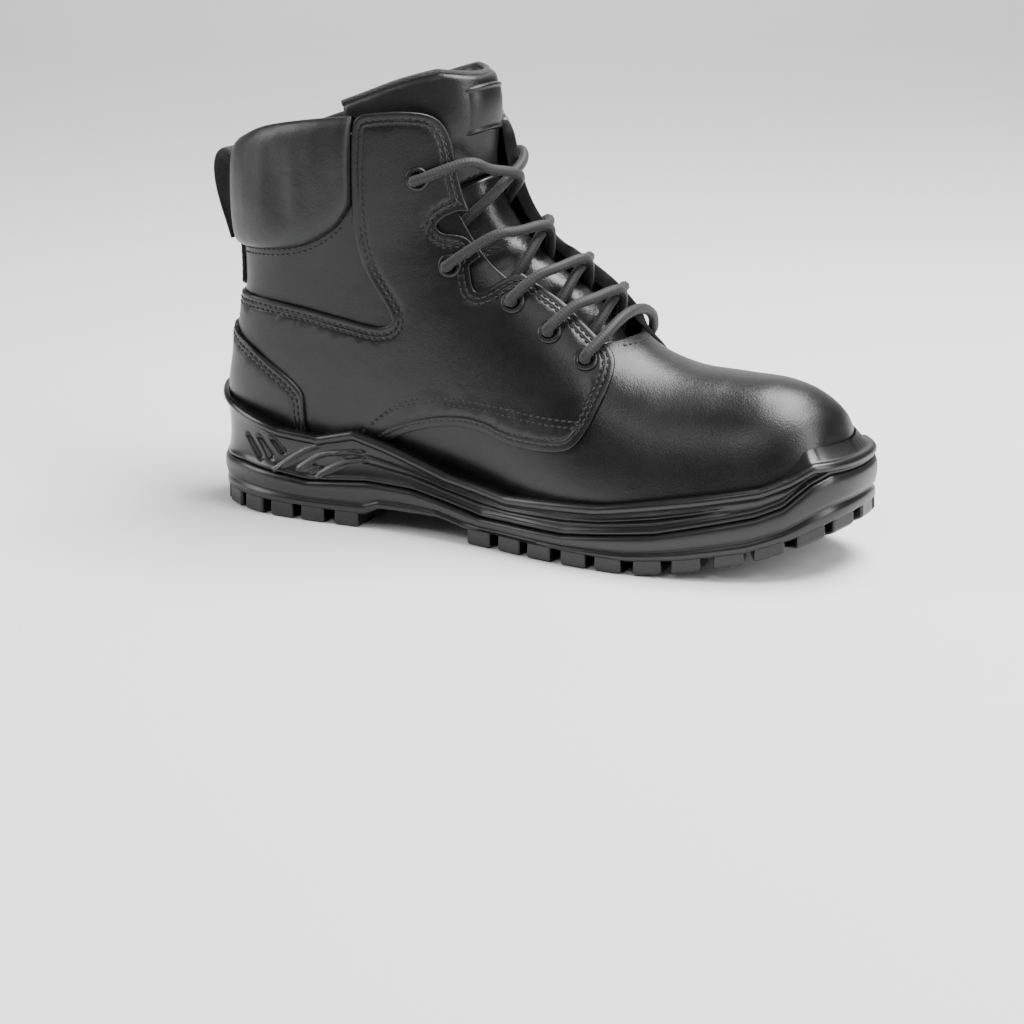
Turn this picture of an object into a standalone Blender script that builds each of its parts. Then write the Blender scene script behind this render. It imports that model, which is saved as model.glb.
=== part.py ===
"""Safety work boot for the right foot, EU 43: ankle-high, lace-up, steel toe cap.

World frame: +X points to the toe, +Y to the inner (medial) side, +Z up, origin
on the ground under the middle of the boot's bounding box.  Lengths in metres.

Everything on the upper is a layer of one skin.  The skin is a loft of girth
sections: each runs from a point under the foot (or up the back of the heel) to
a point on the ridge of the vamp, instep or shaft front.  Layers lie parallel to
the skin, and each panel is cut out of its layer by an outline drawn in side view.
"""
import math

import bmesh
import bpy
import numpy as np
from mathutils import Vector

MM = 0.001
GAP = 0.3 * MM

# ---- girth sections of the skin (millimetres) --------------------------------
# station, ridge x, ridge z, base x, base z, half width, ridge power, base power, centre y
STATIONS = np.array([
    (0.0, 149.0, 34.0, 149.0, 30.0, 2.0, 2.6, 14.0, 2.5),
    (0.6, 148.5, 44.6, 147.5, 25.0, 9.8, 2.7, 14.0, 2.5),
    (1.2, 145.5, 54.5, 144.0, 22.0, 17.8, 2.8, 14.0, 2.5),
    (1.8, 140.8, 64.0, 138.0, 19.0, 27.5, 2.8, 14.0, 2.3),
    (2.4, 132.0, 70.6, 129.0, 17.0, 34.2, 2.75, 14.0, 2.0),
    (3.1, 119.3, 75.0, 114.0, 14.0, 39.8, 2.65, 14.0, 1.5),
    (4.0, 98.0, 76.6, 91.0, 11.0, 44.2, 2.5, 14.0, 0.5),
    (4.9, 76.0, 78.6, 64.0, 10.0, 47.0, 2.5, 14.0, -1.0),
    (5.7, 58.0, 85.5, 36.0, 11.0, 45.5, 2.8, 12.0, -2.0),
    (6.5, 42.0, 99.0, 8.0, 11.0, 41.0, 3.4, 9.0, -1.5),
    (7.3, 25.0, 111.5, -22.0, 13.0, 37.0, 4.4, 7.0, -0.5),
    (8.1, 9.0, 122.0, -62.0, 15.0, 35.0, 5.4, 7.0, 0.0),
    (8.9, -3.0, 134.0, -114.0, 16.0, 34.5, 6.2, 7.0, 0.0),
    (9.6, -9.5, 146.0, -144.5, 40.0, 35.0, 6.4, 7.0, 0.0),
    (10.3, -13.0, 159.0, -143.0, 66.0, 36.0, 6.0, 7.0, 0.0),
    (11.0, -15.5, 172.0, -138.2, 96.0, 38.0, 5.2, 6.0, 0.0),
    (11.8, -17.5, 186.0, -138.6, 132.0, 40.0, 4.6, 4.8, 0.0),
    (12.8, -20.0, 205.0, -139.0, 190.0, 41.0, 4.0, 4.2, 0.0)])
HEEL_TURN = (8.9, 9.6)        # stations between which the base point leaves the sole
TOE_TURN = (2.5, 4.0)         # stations over which the toe rounding fades out

# ---- layers of the upper: (inner, outer) distance from the skin, in metres ----
LINING = (-4.8 * MM, -3.6 * MM)
STIFFENERS = (-3.1 * MM, -1.8 * MM)
BASE_LAYER = (-1.4 * MM, 0.0)
OVERLAY = (0.4 * MM, 1.9 * MM)
PATCH_LAYER = (2.2 * MM, 3.6 * MM)
COLLAR_PAD = (-2.4 * MM, 5.0 * MM)
INSIDE_LINING = -6.2 * MM
POCKET_FORE = 0.6 * MM        # the sole wall stands off the vamp, and off the quarters
POCKET_HEEL = 2.3 * MM
POCKET_CHANGE = (7.0, 7.8)

# ---- sole heights along the boot: (x, z) in millimetres ------------------------
RIM_TOP = ((-156, 54), (-146, 51), (-127, 46), (-105, 41), (-84, 39.5), (-66, 43.5), (-49, 39),
           (-20, 30), (12, 25), (59, 28), (101, 35), (126, 39.5), (136, 43.5), (144, 48.5), (156, 48.5))
PARTING = ((-156, 21), (-128, 22), (-90, 18.5), (-60, 21), (-37, 20), (-1, 13), (42, 13),
           (84, 18), (124, 27), (134, 31), (143, 39.5), (149, 43), (156, 43))
TREAD_BASE = ((-156, 7), (-62, 6), (-54, 9.5), (-24, 9.5), (-10, 6.5), (72, 5.5), (95, 8),
              (120, 12.2), (138, 18), (156, 26.5))
GROUND_LINE = ((-156, 0), (75, 0), (95, 3), (120, 8), (138, 14), (156, 22))
FLOOR = ((-156, 27), (-112, 27), (-62, 26), (-22, 23), (8, 19), (36, 16), (64, 15), (91, 16),
         (114, 19), (129, 22), (156, 29))
# widest outline of the sole in plan, from the toe round the outer side and back
SOLE_PLAN = ((155, 2.5), (152.5, -13), (145, -26), (130, -37.8), (107, -46.8), (80, -52),
             (55, -52.75), (30, -49.8), (5, -44.5), (-20, -41), (-50, -40), (-85, -41), (-115, -39.5),
             (-138, -30), (-151, -15), (-155, 0), (-151, 15), (-138, 29), (-115, 38.5),
             (-85, 39.5), (-50, 38), (-20, 37), (5, 39.8), (30, 46.3), (55, 51.7), (80, 52.75),
             (107, 48.6), (130, 40.2), (145, 30), (153, 18))
BOARD_THICK = 2.0 * MM
PLATE_THICK = 1.0 * MM
FOOTBED_THICK = 5.0 * MM
SHANK_SIZE = (105 * MM, 13 * MM, 1.2 * MM)
SHANK_X = -28 * MM
LUG_SIZE = (12.0 * MM, 15 * MM)

# ---- side-view outlines of the panels (x, z in millimetres) ---------------------
QUARTER = ((-61, 179), (-41, 181), (-32, 180), (-26, 175), (-23, 163), (-21, 152), (-18, 141),
           (-13, 132), (-6, 123), (2, 116), (7, 114), (16, 109), (27, 103), (36, 96), (45, 89),
           (52, 84), (55, 77), (54, 70), (51, 59), (46, 50), (41, 47), (32, 46), (19, 46),
           (8, 47), (0, 50), (-13, 51), (-28, 49), (-44, 44), (-58, 36), (-62, 18), (-170, 18),
           (-170, 97), (-124, 98), (-92, 95), (-72, 92), (-55, 89), (-48, 90), (-46, 93),
           (-50, 99), (-57, 109), (-62, 118), (-64, 130), (-63, 160))
ANKLE_PANEL = ((-170, 90), (-92, 87), (-55, 81), (-40, 84), (-37, 95), (-49, 112), (-55, 130),
               (-55, 171), (-63.8, 171), (-63.8, 141), (-69, 133), (-79, 125.3), (-90, 121.4),
               (-102, 119.4), (-118, 118.4), (-170, 117.6))
COLLAR = ((-170, 118.2), (-118, 119), (-102, 120), (-90, 122), (-80, 126), (-70, 134),
          (-65, 142), (-64.4, 160), (-64.2, 178), (-80, 177.5), (-96, 175.5), (-110, 173),
          (-124, 168), (-138, 162), (-170, 158))
BACKSTAY = ((-170, 97.6), (-124, 98.6), (-124, 117.4), (-170, 117.4))
BACKSTAY_WIDTH = 26 * MM
COUNTER_PATCH = ((-170, 88), (-141, 86), (-128, 80), (-120, 75), (-110, 70), (-100, 64),
                 (-95, 60), (-93, 56), (-94, 41), (-105, 42), (-127, 47), (-146, 52),
                 (-170, 55))
VAMP = ((170, 12), (170, 110), (70, 110), (56, 93), (44, 88), (43, 70), (40, 58), (33, 55),
        (15, 56), (0, 59), (-20, 59), (-52, 52), (-72, 40), (-72, 12))
UNDERLAY = ((-50, 176), (-30, 177), (-26, 163), (-24, 150), (-19.5, 138.5), (-8, 120.5),
            (5.5, 111), (26, 99.5), (39, 89), (40, 72), (26, 74), (-2, 88), (-26, 104),
            (-40, 124), (-50, 150))
VAMP_LINING = ((170, 16), (170, 110), (66, 110), (54, 90), (44, 50), (40, 16))
QUARTER_LINING = ((-170, 32), (-112, 32), (-62, 30), (-22, 27), (8, 23), (39, 20), (40, 50),
                  (30, 68), (12, 80), (-12, 96), (-34, 118), (-46, 148), (-46, 176),
                  (-64, 176), (-96, 173), (-124, 166), (-170, 158))
TOE_CAP = ((170, 28), (170, 110), (104, 110), (98, 90), (92, 60), (90, 28))
HEEL_CUP = ((-170, 41), (-170, 84), (-138, 82), (-118, 76), (-100, 66), (-84, 54), (-79, 41))
WINDOWS = (((-14, 135), (-22, 138), (-27, 135.5), (-29, 132.5), (-26, 130.3), (-19, 129),
            (-15, 127), (-10, 121), (-2, 121)),
           ((12, 113), (2, 113), (-3, 109), (-9, 106), (-11.5, 107.5), (-13.5, 114),
            (-9, 117.5), (-6, 124), (6, 122)))

# ---- lacing --------------------------------------------------------------------
EYELETS = ((-35, 153), (-21, 117), (8, 103), (26, 92), (43, 82))
EYELET_HOLE = 3.7 * MM
EYELET_BARREL = 3.4 * MM
EYELET_BORE = 2.7 * MM
EYELET_FLANGE = 5.3 * MM
LACE_RADIUS = 2.2 * MM
LACE_INSIDE = -8.0 * MM        # between the lining and the tongue
TUCKED_END = ((-40, 147), (-45, 137), (-49, 126), (-52, 114), (-54, 102))
FAR_STRAND = 3.4 * MM
NEAR_STRAND = 8.2 * MM

# ---- tongue --------------------------------------------------------------------
TONGUE_SIDE_DEPTH = -11.0 * MM
TONGUE_CENTRE_DEPTH = (-3.0 * MM, -0.8 * MM)
TONGUE_CROWN = (8.5 * MM, 20.0 * MM)   # half width of the bulge under and above the laces
TONGUE_WIDENS = (10.2, 11.2)
TONGUE_INSIDE = Vector((-80 * MM, 0.0, 60 * MM))
TONGUE_START = 5.75
TONGUE_SPLIT = 10.0
TONGUE_END = 12.55
TONGUE_LOWER_THICK = 3.5 * MM
TONGUE_PAD_THICK = 9.0 * MM
TONGUE_TOP = ((-120, 120), (-96, 172), (-80, 181), (-60, 187), (-45, 192), (-32, 196),
              (-22, 192), (-8, 186), (20, 150), (90, 90), (90, 60), (-60, 60))

# ---- mesh density ---------------------------------------------------------------
ALONG = 23                    # lines along the boot


# ==== small numeric helpers =====================================================
def hermite(xs, ys):
    """Smooth curve through rows ys at xs; returns a function of x."""
    xs = np.asarray(xs, float)
    ys = np.asarray(ys, float)
    step = np.diff(xs)
    slope = np.diff(ys, axis=0) / step[:, None]
    tangent = np.zeros_like(ys)
    weight = (step[:-1] + step[1:])[:, None]
    tangent[1:-1] = (slope[:-1] * step[1:, None] + slope[1:] * step[:-1, None]) / weight
    tangent[0] = slope[0]
    tangent[-1] = slope[-1]

    def value(x):
        i = int(np.clip(np.searchsorted(xs, x, side="right") - 1, 0, len(xs) - 2))
        t = (x - xs[i]) / step[i]
        a = 2 * t ** 3 - 3 * t ** 2 + 1
        b = (t ** 3 - 2 * t ** 2 + t) * step[i]
        c = (t ** 3 - t ** 2) * step[i]
        return a * ys[i] + b * tangent[i] + (1 - a) * ys[i + 1] + c * tangent[i + 1]
    return value


def smooth_step(low, high, x):
    t = min(1.0, max(0.0, (x - low) / (high - low)))
    return t * t * (3 - 2 * t)


def rotated(point, angle):
    """A plan point turned about the origin."""
    c = math.cos(angle)
    s = math.sin(angle)
    return Vector((c * point.x - s * point.y, s * point.x + c * point.y))


def height(profile, x):
    """Height in metres of an (x, z) profile given in millimetres, at x in metres."""
    xs = [p[0] for p in profile]
    zs = [p[1] for p in profile]
    return float(np.interp(x / MM, xs, zs)) * MM


GIRTH = hermite(STATIONS[:, 0], STATIONS[:, 1:])


# ==== the skin ====================================================================
def girth(u):
    """Ridge point, base point, half width, powers and centre of the section at u."""
    ridge_x, ridge_z, base_x, base_z, width, ridge_p, base_p, centre = GIRTH(u)
    ridge = np.array((ridge_x, ridge_z)) * MM
    base = np.array((base_x, base_z)) * MM
    return ridge, base, width * MM, ridge_p, base_p, centre * MM


def outward(u, which):
    """Unit normal, in side view, of the ridge (0) or base (1) curve at u."""
    h = 0.02
    lo = girth(max(u - h, 0.0))[which]
    hi = girth(min(u + h, STATIONS[-1, 0]))[which]
    along = hi - lo
    normal = np.array((along[1], -along[0]))
    if which == 1:
        normal = -normal
    return normal / np.linalg.norm(normal)


def skin(u, t, side, depth, base_depth=None):
    """Point at section u, fraction t from base to ridge, moved out by depth."""
    ridge, base, width, ridge_p, base_p, centre = girth(u)
    toe = 1.0 - smooth_step(*TOE_TURN, u)
    heel = smooth_step(*HEEL_TURN, u)
    under = depth if base_depth is None else base_depth + (depth - base_depth) * heel
    front = outward(u, 0)
    ridge = ridge + depth * front
    base = base + depth * toe * np.array((front[0], 0.0)) + under * (1 - toe) * outward(u, 1)
    width = max(width + depth * (toe * front[1] + 1.0 - toe), 0.2 * MM)
    t = min(1.0, max(0.0, t))
    profile = math.sqrt(1 - t ** ridge_p) * math.sqrt(1 - (1 - t) ** base_p)
    x, z = base + (ridge - base) * t
    return Vector((x, centre + side * width * profile, z))


def locate(x, z):
    """Section u and fraction t of the skin at the side-view point x, z."""
    point = np.array((x, z))

    def miss(u):
        ridge, base = girth(u)[:2]
        span = ridge - base
        away = point - base
        return span[0] * away[1] - span[1] * away[0]
    low, high = 0.3, STATIONS[-1, 0]
    low_miss = miss(low)
    for _ in range(48):
        middle = 0.5 * (low + high)
        if low_miss * miss(middle) <= 0:
            high = middle
        else:
            low = middle
    ridge, base = girth(low)[:2]
    span = ridge - base
    return low, float(np.dot(point - base, span) / np.dot(span, span))


def skin_at_width(u, y, depth):
    """Point of the skin at section u, a distance y sideways from its centre."""
    side = 1 if y > 0 else -1
    centre = girth(u)[5]
    low, high = 0.5, 1.0
    for _ in range(40):
        middle = 0.5 * (low + high)
        if abs(skin(u, middle, side, depth).y - centre) > abs(y):
            low = middle
        else:
            high = middle
    return skin(u, high, side, depth)


def skin_frame(x, z, side):
    """Point on the skin and outward normal there, for side-view x, z in metres."""
    u, t = locate(x, z)
    h = 0.01
    origin = skin(u, t, side, 0.0)
    du = skin(u + h, t, side, 0.0) - skin(u - h, t, side, 0.0)
    dt = skin(u, t + h, side, 0.0) - skin(u, t - h, side, 0.0)
    normal = du.cross(dt).normalized()
    if normal.y * side < 0:
        normal = -normal
    return origin, normal


# ==== Blender helpers ==============================================================
def new_collection(name):
    collection = bpy.data.collections.new(name)
    bpy.context.scene.collection.children.link(collection)
    return collection


def make_material(name, colour, roughness, metallic=0.0):
    material = bpy.data.materials.new(name)
    material.use_nodes = True
    shader = material.node_tree.nodes["Principled BSDF"]
    shader.inputs["Base Color"].default_value = (*colour, 1.0)
    shader.inputs["Roughness"].default_value = roughness
    shader.inputs["Metallic"].default_value = metallic
    return material


def add_object(name, mesh, collection, material=None):
    obj = bpy.data.objects.new(name, mesh)
    collection.objects.link(obj)
    if material:
        mesh.materials.append(material)
        mesh.shade_smooth()
    return obj


def cutter(name, mesh):
    obj = add_object(name, mesh, CUTTERS)
    obj.hide_render = True
    obj.display_type = "WIRE"
    return obj


def boolean(obj, other, operation):
    modifier = obj.modifiers.new(operation.lower(), "BOOLEAN")
    modifier.operation = operation
    modifier.solver = "EXACT"
    modifier.object = other
    return modifier


def grid_mesh(name, rows, closed=False, turned=()):
    """Triangles between rows of points; closed joins the last point of a row to its first.

    The diagonals of neighbouring layers match, so the layers stay parallel: turned
    holds the columns where the rows run from the ridge down.
    """
    mesh = bpy.data.meshes.new(name)
    width = len(rows[0])
    points = [tuple(p) for row in rows for p in row]
    faces = []
    for i in range(len(rows) - 1):
        for j in range(width if closed else width - 1):
            k = (j + 1) % width
            a, b = i * width + j, i * width + k
            c, d = (i + 1) * width + k, (i + 1) * width + j
            if j in turned:
                faces += [(a, b, d), (b, c, d)]
            else:
                faces += [(a, b, c), (a, c, d)]
    if closed:
        faces.append(tuple(range(width - 1, -1, -1)))
        faces.append(tuple((len(rows) - 1) * width + j for j in range(width)))
    mesh.from_pydata(points, [], faces)
    bm = bmesh.new()
    bm.from_mesh(mesh)
    bmesh.ops.recalc_face_normals(bm, faces=bm.faces)
    bm.to_mesh(mesh)
    bm.free()
    return mesh


def prism(name, outline, y_low, y_high):
    """Cutter: a side-view outline (millimetres) extruded between two y values."""
    bm = bmesh.new()
    corners = [bm.verts.new((x * MM, y_low, z * MM)) for x, z in outline]
    face = bm.faces.new(corners)
    made = bmesh.ops.extrude_face_region(bm, geom=[face])["geom"]
    moved = [item for item in made if isinstance(item, bmesh.types.BMVert)]
    bmesh.ops.translate(bm, verts=moved, vec=(0, y_high - y_low, 0))
    bmesh.ops.recalc_face_normals(bm, faces=bm.faces)
    mesh = bpy.data.meshes.new(name)
    bm.to_mesh(mesh)
    bm.free()
    return cutter(name, mesh)


def rod(name, start, end, radius, sides=10):
    """Cutter: a cylinder between two points."""
    axis = end - start
    bm = bmesh.new()
    turn = axis.to_track_quat("Z", "Y").to_matrix().to_4x4()
    turn.translation = (start + end) / 2
    bmesh.ops.create_cone(bm, cap_ends=True, segments=sides, radius1=radius, radius2=radius,
                          depth=axis.length, matrix=turn)
    mesh = bpy.data.meshes.new(name)
    bm.to_mesh(mesh)
    bm.free()
    return cutter(name, mesh)


# ==== layers of the upper ============================================================
LINES_U = [float(STATIONS[-1, 0]) * i / ALONG for i in range(ALONG + 1)]
LINES_T = (0.0, 0.05, 0.2, 0.5, 0.77, 0.9, 0.97, 1.0)      # closer near the edges


def lowest(u):
    """Where the layers start above the base point, hidden inside the sole."""
    return 0.002 + 0.098 * (1 - smooth_step(*HEEL_TURN, u))


def layer_row(u, depth, sides):
    start = lowest(u)
    up = [start + (1 - start) * t for t in LINES_T]
    if sides == "outer":
        return [skin(u, t, -1, depth) for t in up]
    if sides == "inner":
        return [skin(u, t, 1, depth) for t in up]
    if sides == "over_ridge":
        return ([skin(u, t, -1, depth) for t in up]
                + [skin(u, t, 1, depth) for t in reversed(up[:-1])])
    return ([skin(u, t, -1, depth) for t in reversed(up)]
            + [skin(u, t, 1, depth) for t in up])


def thickened(name, mesh, thick, material, inside):
    """An open surface made solid towards the point inside."""
    middle = mesh.polygons[len(mesh.polygons) // 2]
    if (middle.center - inside).dot(middle.normal) < 0:
        mesh.flip_normals()
    obj = add_object(name, mesh, BOOT, material)
    solid = obj.modifiers.new("thickness", "SOLIDIFY")
    solid.thickness = thick
    solid.offset = -1.0
    return obj


def layer(name, depths, sides, u_range, material):
    """One layer of the skin, from its outer depth inwards."""
    lines = [u for u in LINES_U if u_range[0] <= u <= u_range[1]]
    rows = [layer_row(u, depths[1], sides) for u in lines]
    half = len(LINES_T) - 1
    turned = {"over_ridge": range(half, 2 * half), "around_back": range(half)}.get(sides, ())
    mesh = grid_mesh(name, rows, turned=turned)
    return thickened(name, mesh, depths[1] - depths[0], material, Vector((-30 * MM, 0, 60 * MM)))


def cut_panel(obj, outline, sides):
    spans = {"outer": (-0.1, -GAP / 2), "inner": (GAP / 2, 0.1), "both": (-0.1, 0.1),
             "strip": (-BACKSTAY_WIDTH / 2, BACKSTAY_WIDTH / 2)}
    boolean(obj, prism(obj.name + "_outline", outline, *spans[sides]), "INTERSECT")


def drill_eyelets(obj, side):
    for number, (x, z) in enumerate(EYELETS, 1):
        origin, normal = skin_frame(x * MM, z * MM, side)
        start = origin - normal * 8 * MM
        end = origin + normal * 5 * MM
        drill = rod(f"{obj.name}_drill_{number}", start, end, EYELET_HOLE)
        boolean(obj, drill, "DIFFERENCE")


def closed_last(name, depth, u_range, base_depth=None):
    """Cutter: the closed volume inside the skin moved by depth."""
    lines = [u for u in LINES_U if u_range[0] <= u <= u_range[1]]
    rows = []
    for u in lines:
        out = depth(u) if callable(depth) else depth
        start = lowest(u)
        up = [start + (1 - start) * t for t in LINES_T]
        row = [skin(u, start * 0.02, -1, out, base_depth)]
        row += [skin(u, t, -1, out, base_depth) for t in up]
        row += [skin(u, t, 1, out, base_depth) for t in reversed(up[:-1])]
        row += [skin(u, start * 0.02, 1, out, base_depth)]
        rows.append(row)
    half = len(LINES_T)
    return cutter(name, grid_mesh(name, rows, closed=True, turned=range(half, 2 * half)))


def trim_to_floor(obj, lift):
    """Cut a panel off just above the floor of the sole."""
    xs = [-170] + [p[0] for p in FLOOR] + [170]
    low = [(x, height(FLOOR, x * MM) / MM + lift) for x in xs]
    outline = low + [(170, 240), (-170, 240)]
    boolean(obj, prism(obj.name + "_floor", outline, -0.1, 0.1), "INTERSECT")


def build_upper():
    parts = {
        "vamp": layer("vamp", BASE_LAYER, "over_ridge", (0.0, 9.7), LEATHER),
        "vamp_lining": layer("vamp_lining", LINING, "over_ridge", (0.0, 8.0), MESH_CLOTH),
        "steel_toe_cap": layer("steel_toe_cap", STIFFENERS, "over_ridge", (0.0, 5.0), STEEL),
        "heel_stiffener": layer("heel_stiffener", STIFFENERS, "around_back", (8.0, 12.0), FIBRE),
        "padded_collar": layer("padded_collar", COLLAR_PAD, "around_back", (8.0, 13.0), LEATHER),
        "heel_counter_patch": layer("heel_counter_patch", PATCH_LAYER, "around_back",
                                    (8.0, 12.0), LEATHER),
        "backstay": layer("backstay", OVERLAY, "around_back", (9.5, 13.0), LEATHER),
    }
    cut_panel(parts["vamp"], VAMP, "both")
    cut_panel(parts["vamp_lining"], VAMP_LINING, "both")
    trim_to_floor(parts["vamp"], 0.6)
    trim_to_floor(parts["vamp_lining"], 9.2)
    cut_panel(parts["steel_toe_cap"], TOE_CAP, "both")
    cut_panel(parts["heel_stiffener"], HEEL_CUP, "both")
    cut_panel(parts["padded_collar"], COLLAR, "both")
    cut_panel(parts["heel_counter_patch"], COUNTER_PATCH, "both")
    cut_panel(parts["backstay"], BACKSTAY, "strip")
    for word, sides, side in (("lateral", "outer", -1), ("medial", "inner", 1)):
        quarter = layer(f"quarter_{word}", OVERLAY, sides, (4.6, 13.0), LEATHER)
        cut_panel(quarter, QUARTER, sides)
        trim_to_floor(quarter, 0.6)
        for number, window in enumerate(WINDOWS, 1):
            span = (-0.1, 0.0) if side < 0 else (0.0, 0.1)
            opening = prism(f"quarter_{word}_window_{number}", window, *span)
            boolean(quarter, opening, "DIFFERENCE")
        drill_eyelets(quarter, side)
        underlay = layer(f"facing_underlay_{word}", STIFFENERS, sides, (4.6, 13.0), LEATHER)
        cut_panel(underlay, UNDERLAY, sides)
        drill_eyelets(underlay, side)
        ankle = layer(f"ankle_panel_{word}", BASE_LAYER, sides, (7.0, 13.0), LEATHER)
        cut_panel(ankle, ANKLE_PANEL, sides)
        lining = layer(f"quarter_lining_{word}", LINING, sides, (4.6, 13.0), MESH_CLOTH)
        cut_panel(lining, QUARTER_LINING, sides)
        trim_to_floor(lining, 9.2)
        boolean(parts["vamp"], bpy.data.objects[f"quarter_{word}_drill_5"], "DIFFERENCE")
    return parts


# ==== sole ============================================================================
def plan_curve(count):
    """Points round the sole's widest outline, starting at the toe."""
    knots = [Vector((x * MM, y * MM)) for x, y in SOLE_PLAN]
    total = len(knots)
    points = []
    for i in range(count):
        at = total * i / count
        k = int(at)
        t = at - k
        a, b, c, d = (knots[(k + n) % total] for n in (-1, 0, 1, 2))
        points.append(0.5 * ((2 * b) + (c - a) * t + (2 * a - 5 * b + 4 * c - d) * t * t
                             + (3 * b - a - 3 * c + d) * t ** 3))
    return points


def wall_ring(points, inset, profile, lift):
    """The outline drawn in by inset, each point at the profile's height plus lift."""
    ring = []
    total = len(points)
    for i, point in enumerate(points):
        along = points[(i + 1) % total] - points[i - 1]
        inward = Vector((along.y, -along.x)).normalized()
        moved = point + inward * inset
        ring.append(Vector((moved.x, moved.y, height(profile, moved.x) + lift)))
    return ring


def wall_solid(name, rings, material):
    """Closed solid from rings of equal count; the caps span from side to side."""
    total = len(rings[0])
    points = [tuple(p) for ring in rings for p in ring]
    faces = []
    for level in range(len(rings) - 1):
        for i in range(total):
            k = (i + 1) % total
            low = level * total
            faces.append((low + i, low + k, low + total + k, low + total + i))
    for base in (0, (len(rings) - 1) * total):
        for i in range(total // 2):
            a, b = i, i + 1
            c, d = total - i - 1, (total - i) % total
            corners = [base + n for n in dict.fromkeys((a, b, c, d))]
            if len(corners) > 2:
                faces.append(corners)
    mesh = bpy.data.meshes.new(name)
    mesh.from_pydata(points, [], faces)
    bm = bmesh.new()
    bm.from_mesh(mesh)
    bmesh.ops.recalc_face_normals(bm, faces=bm.faces)
    bm.to_mesh(mesh)
    bm.free()
    return add_object(name, mesh, BOOT, material)


def lug_blocks(name):
    """Tread blocks round the edge and down the middle, as one mesh of boxes."""
    bm = bmesh.new()
    outline = plan_curve(600)

    def block(centre, angle, length, width):
        x = centre.x
        bottom = height(GROUND_LINE, x)
        top = height(TREAD_BASE, x) + 1.5 * MM
        made = bmesh.ops.create_cube(bm, size=1.0)["verts"]
        for vert in made:
            low = vert.co.z < 0
            local = Vector((vert.co.x * length, vert.co.y * width))
            local = rotated(local, angle)
            spot = centre + local
            vert.co = Vector((spot.x, spot.y, bottom if low else top))
    travelled = 0.0
    spacing = 17 * MM
    inner_edge = 8.8 * MM
    for i in range(len(outline)):
        a = outline[i]
        b = outline[(i + 1) % len(outline)]
        travelled += (b - a).length
        if travelled < spacing:
            continue
        travelled -= spacing
        along = (b - a).normalized()
        inward = Vector((along.y, -along.x))
        centre = a + inward * inner_edge
        if -58 * MM < centre.x < -6 * MM:
            continue
        block(centre, math.atan2(inward.y, inward.x), LUG_SIZE[1], LUG_SIZE[0])
    for x_mm in (-120, -92, 12, 40, 68, 96):
        for side in (-1, 1):
            centre = Vector((x_mm * MM, side * 12 * MM))
            block(centre, side * math.radians(28), 10 * MM, 16 * MM)
    mesh = bpy.data.meshes.new(name)
    bm.to_mesh(mesh)
    bm.free()
    return cutter(name, mesh)


def slab(name, bottom_lift, thick, material, x_range, inner):
    """Sheet that follows the floor of the boot, cut to the inside of the lining."""
    xs = np.linspace(x_range[0], x_range[1], 15)
    low = [(x, height(FLOOR, x * MM) / MM + bottom_lift / MM) for x in xs]
    high = [(x, z + thick / MM) for x, z in reversed(low)]
    body = prism(name + "_band", low + high, -0.07, 0.07)
    obj = add_object(name, body.data.copy(), BOOT, material)
    boolean(obj, inner, "INTERSECT")
    return obj


def pocket_depth(u):
    return POCKET_FORE + (POCKET_HEEL - POCKET_FORE) * smooth_step(*POCKET_CHANGE, u)


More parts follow.
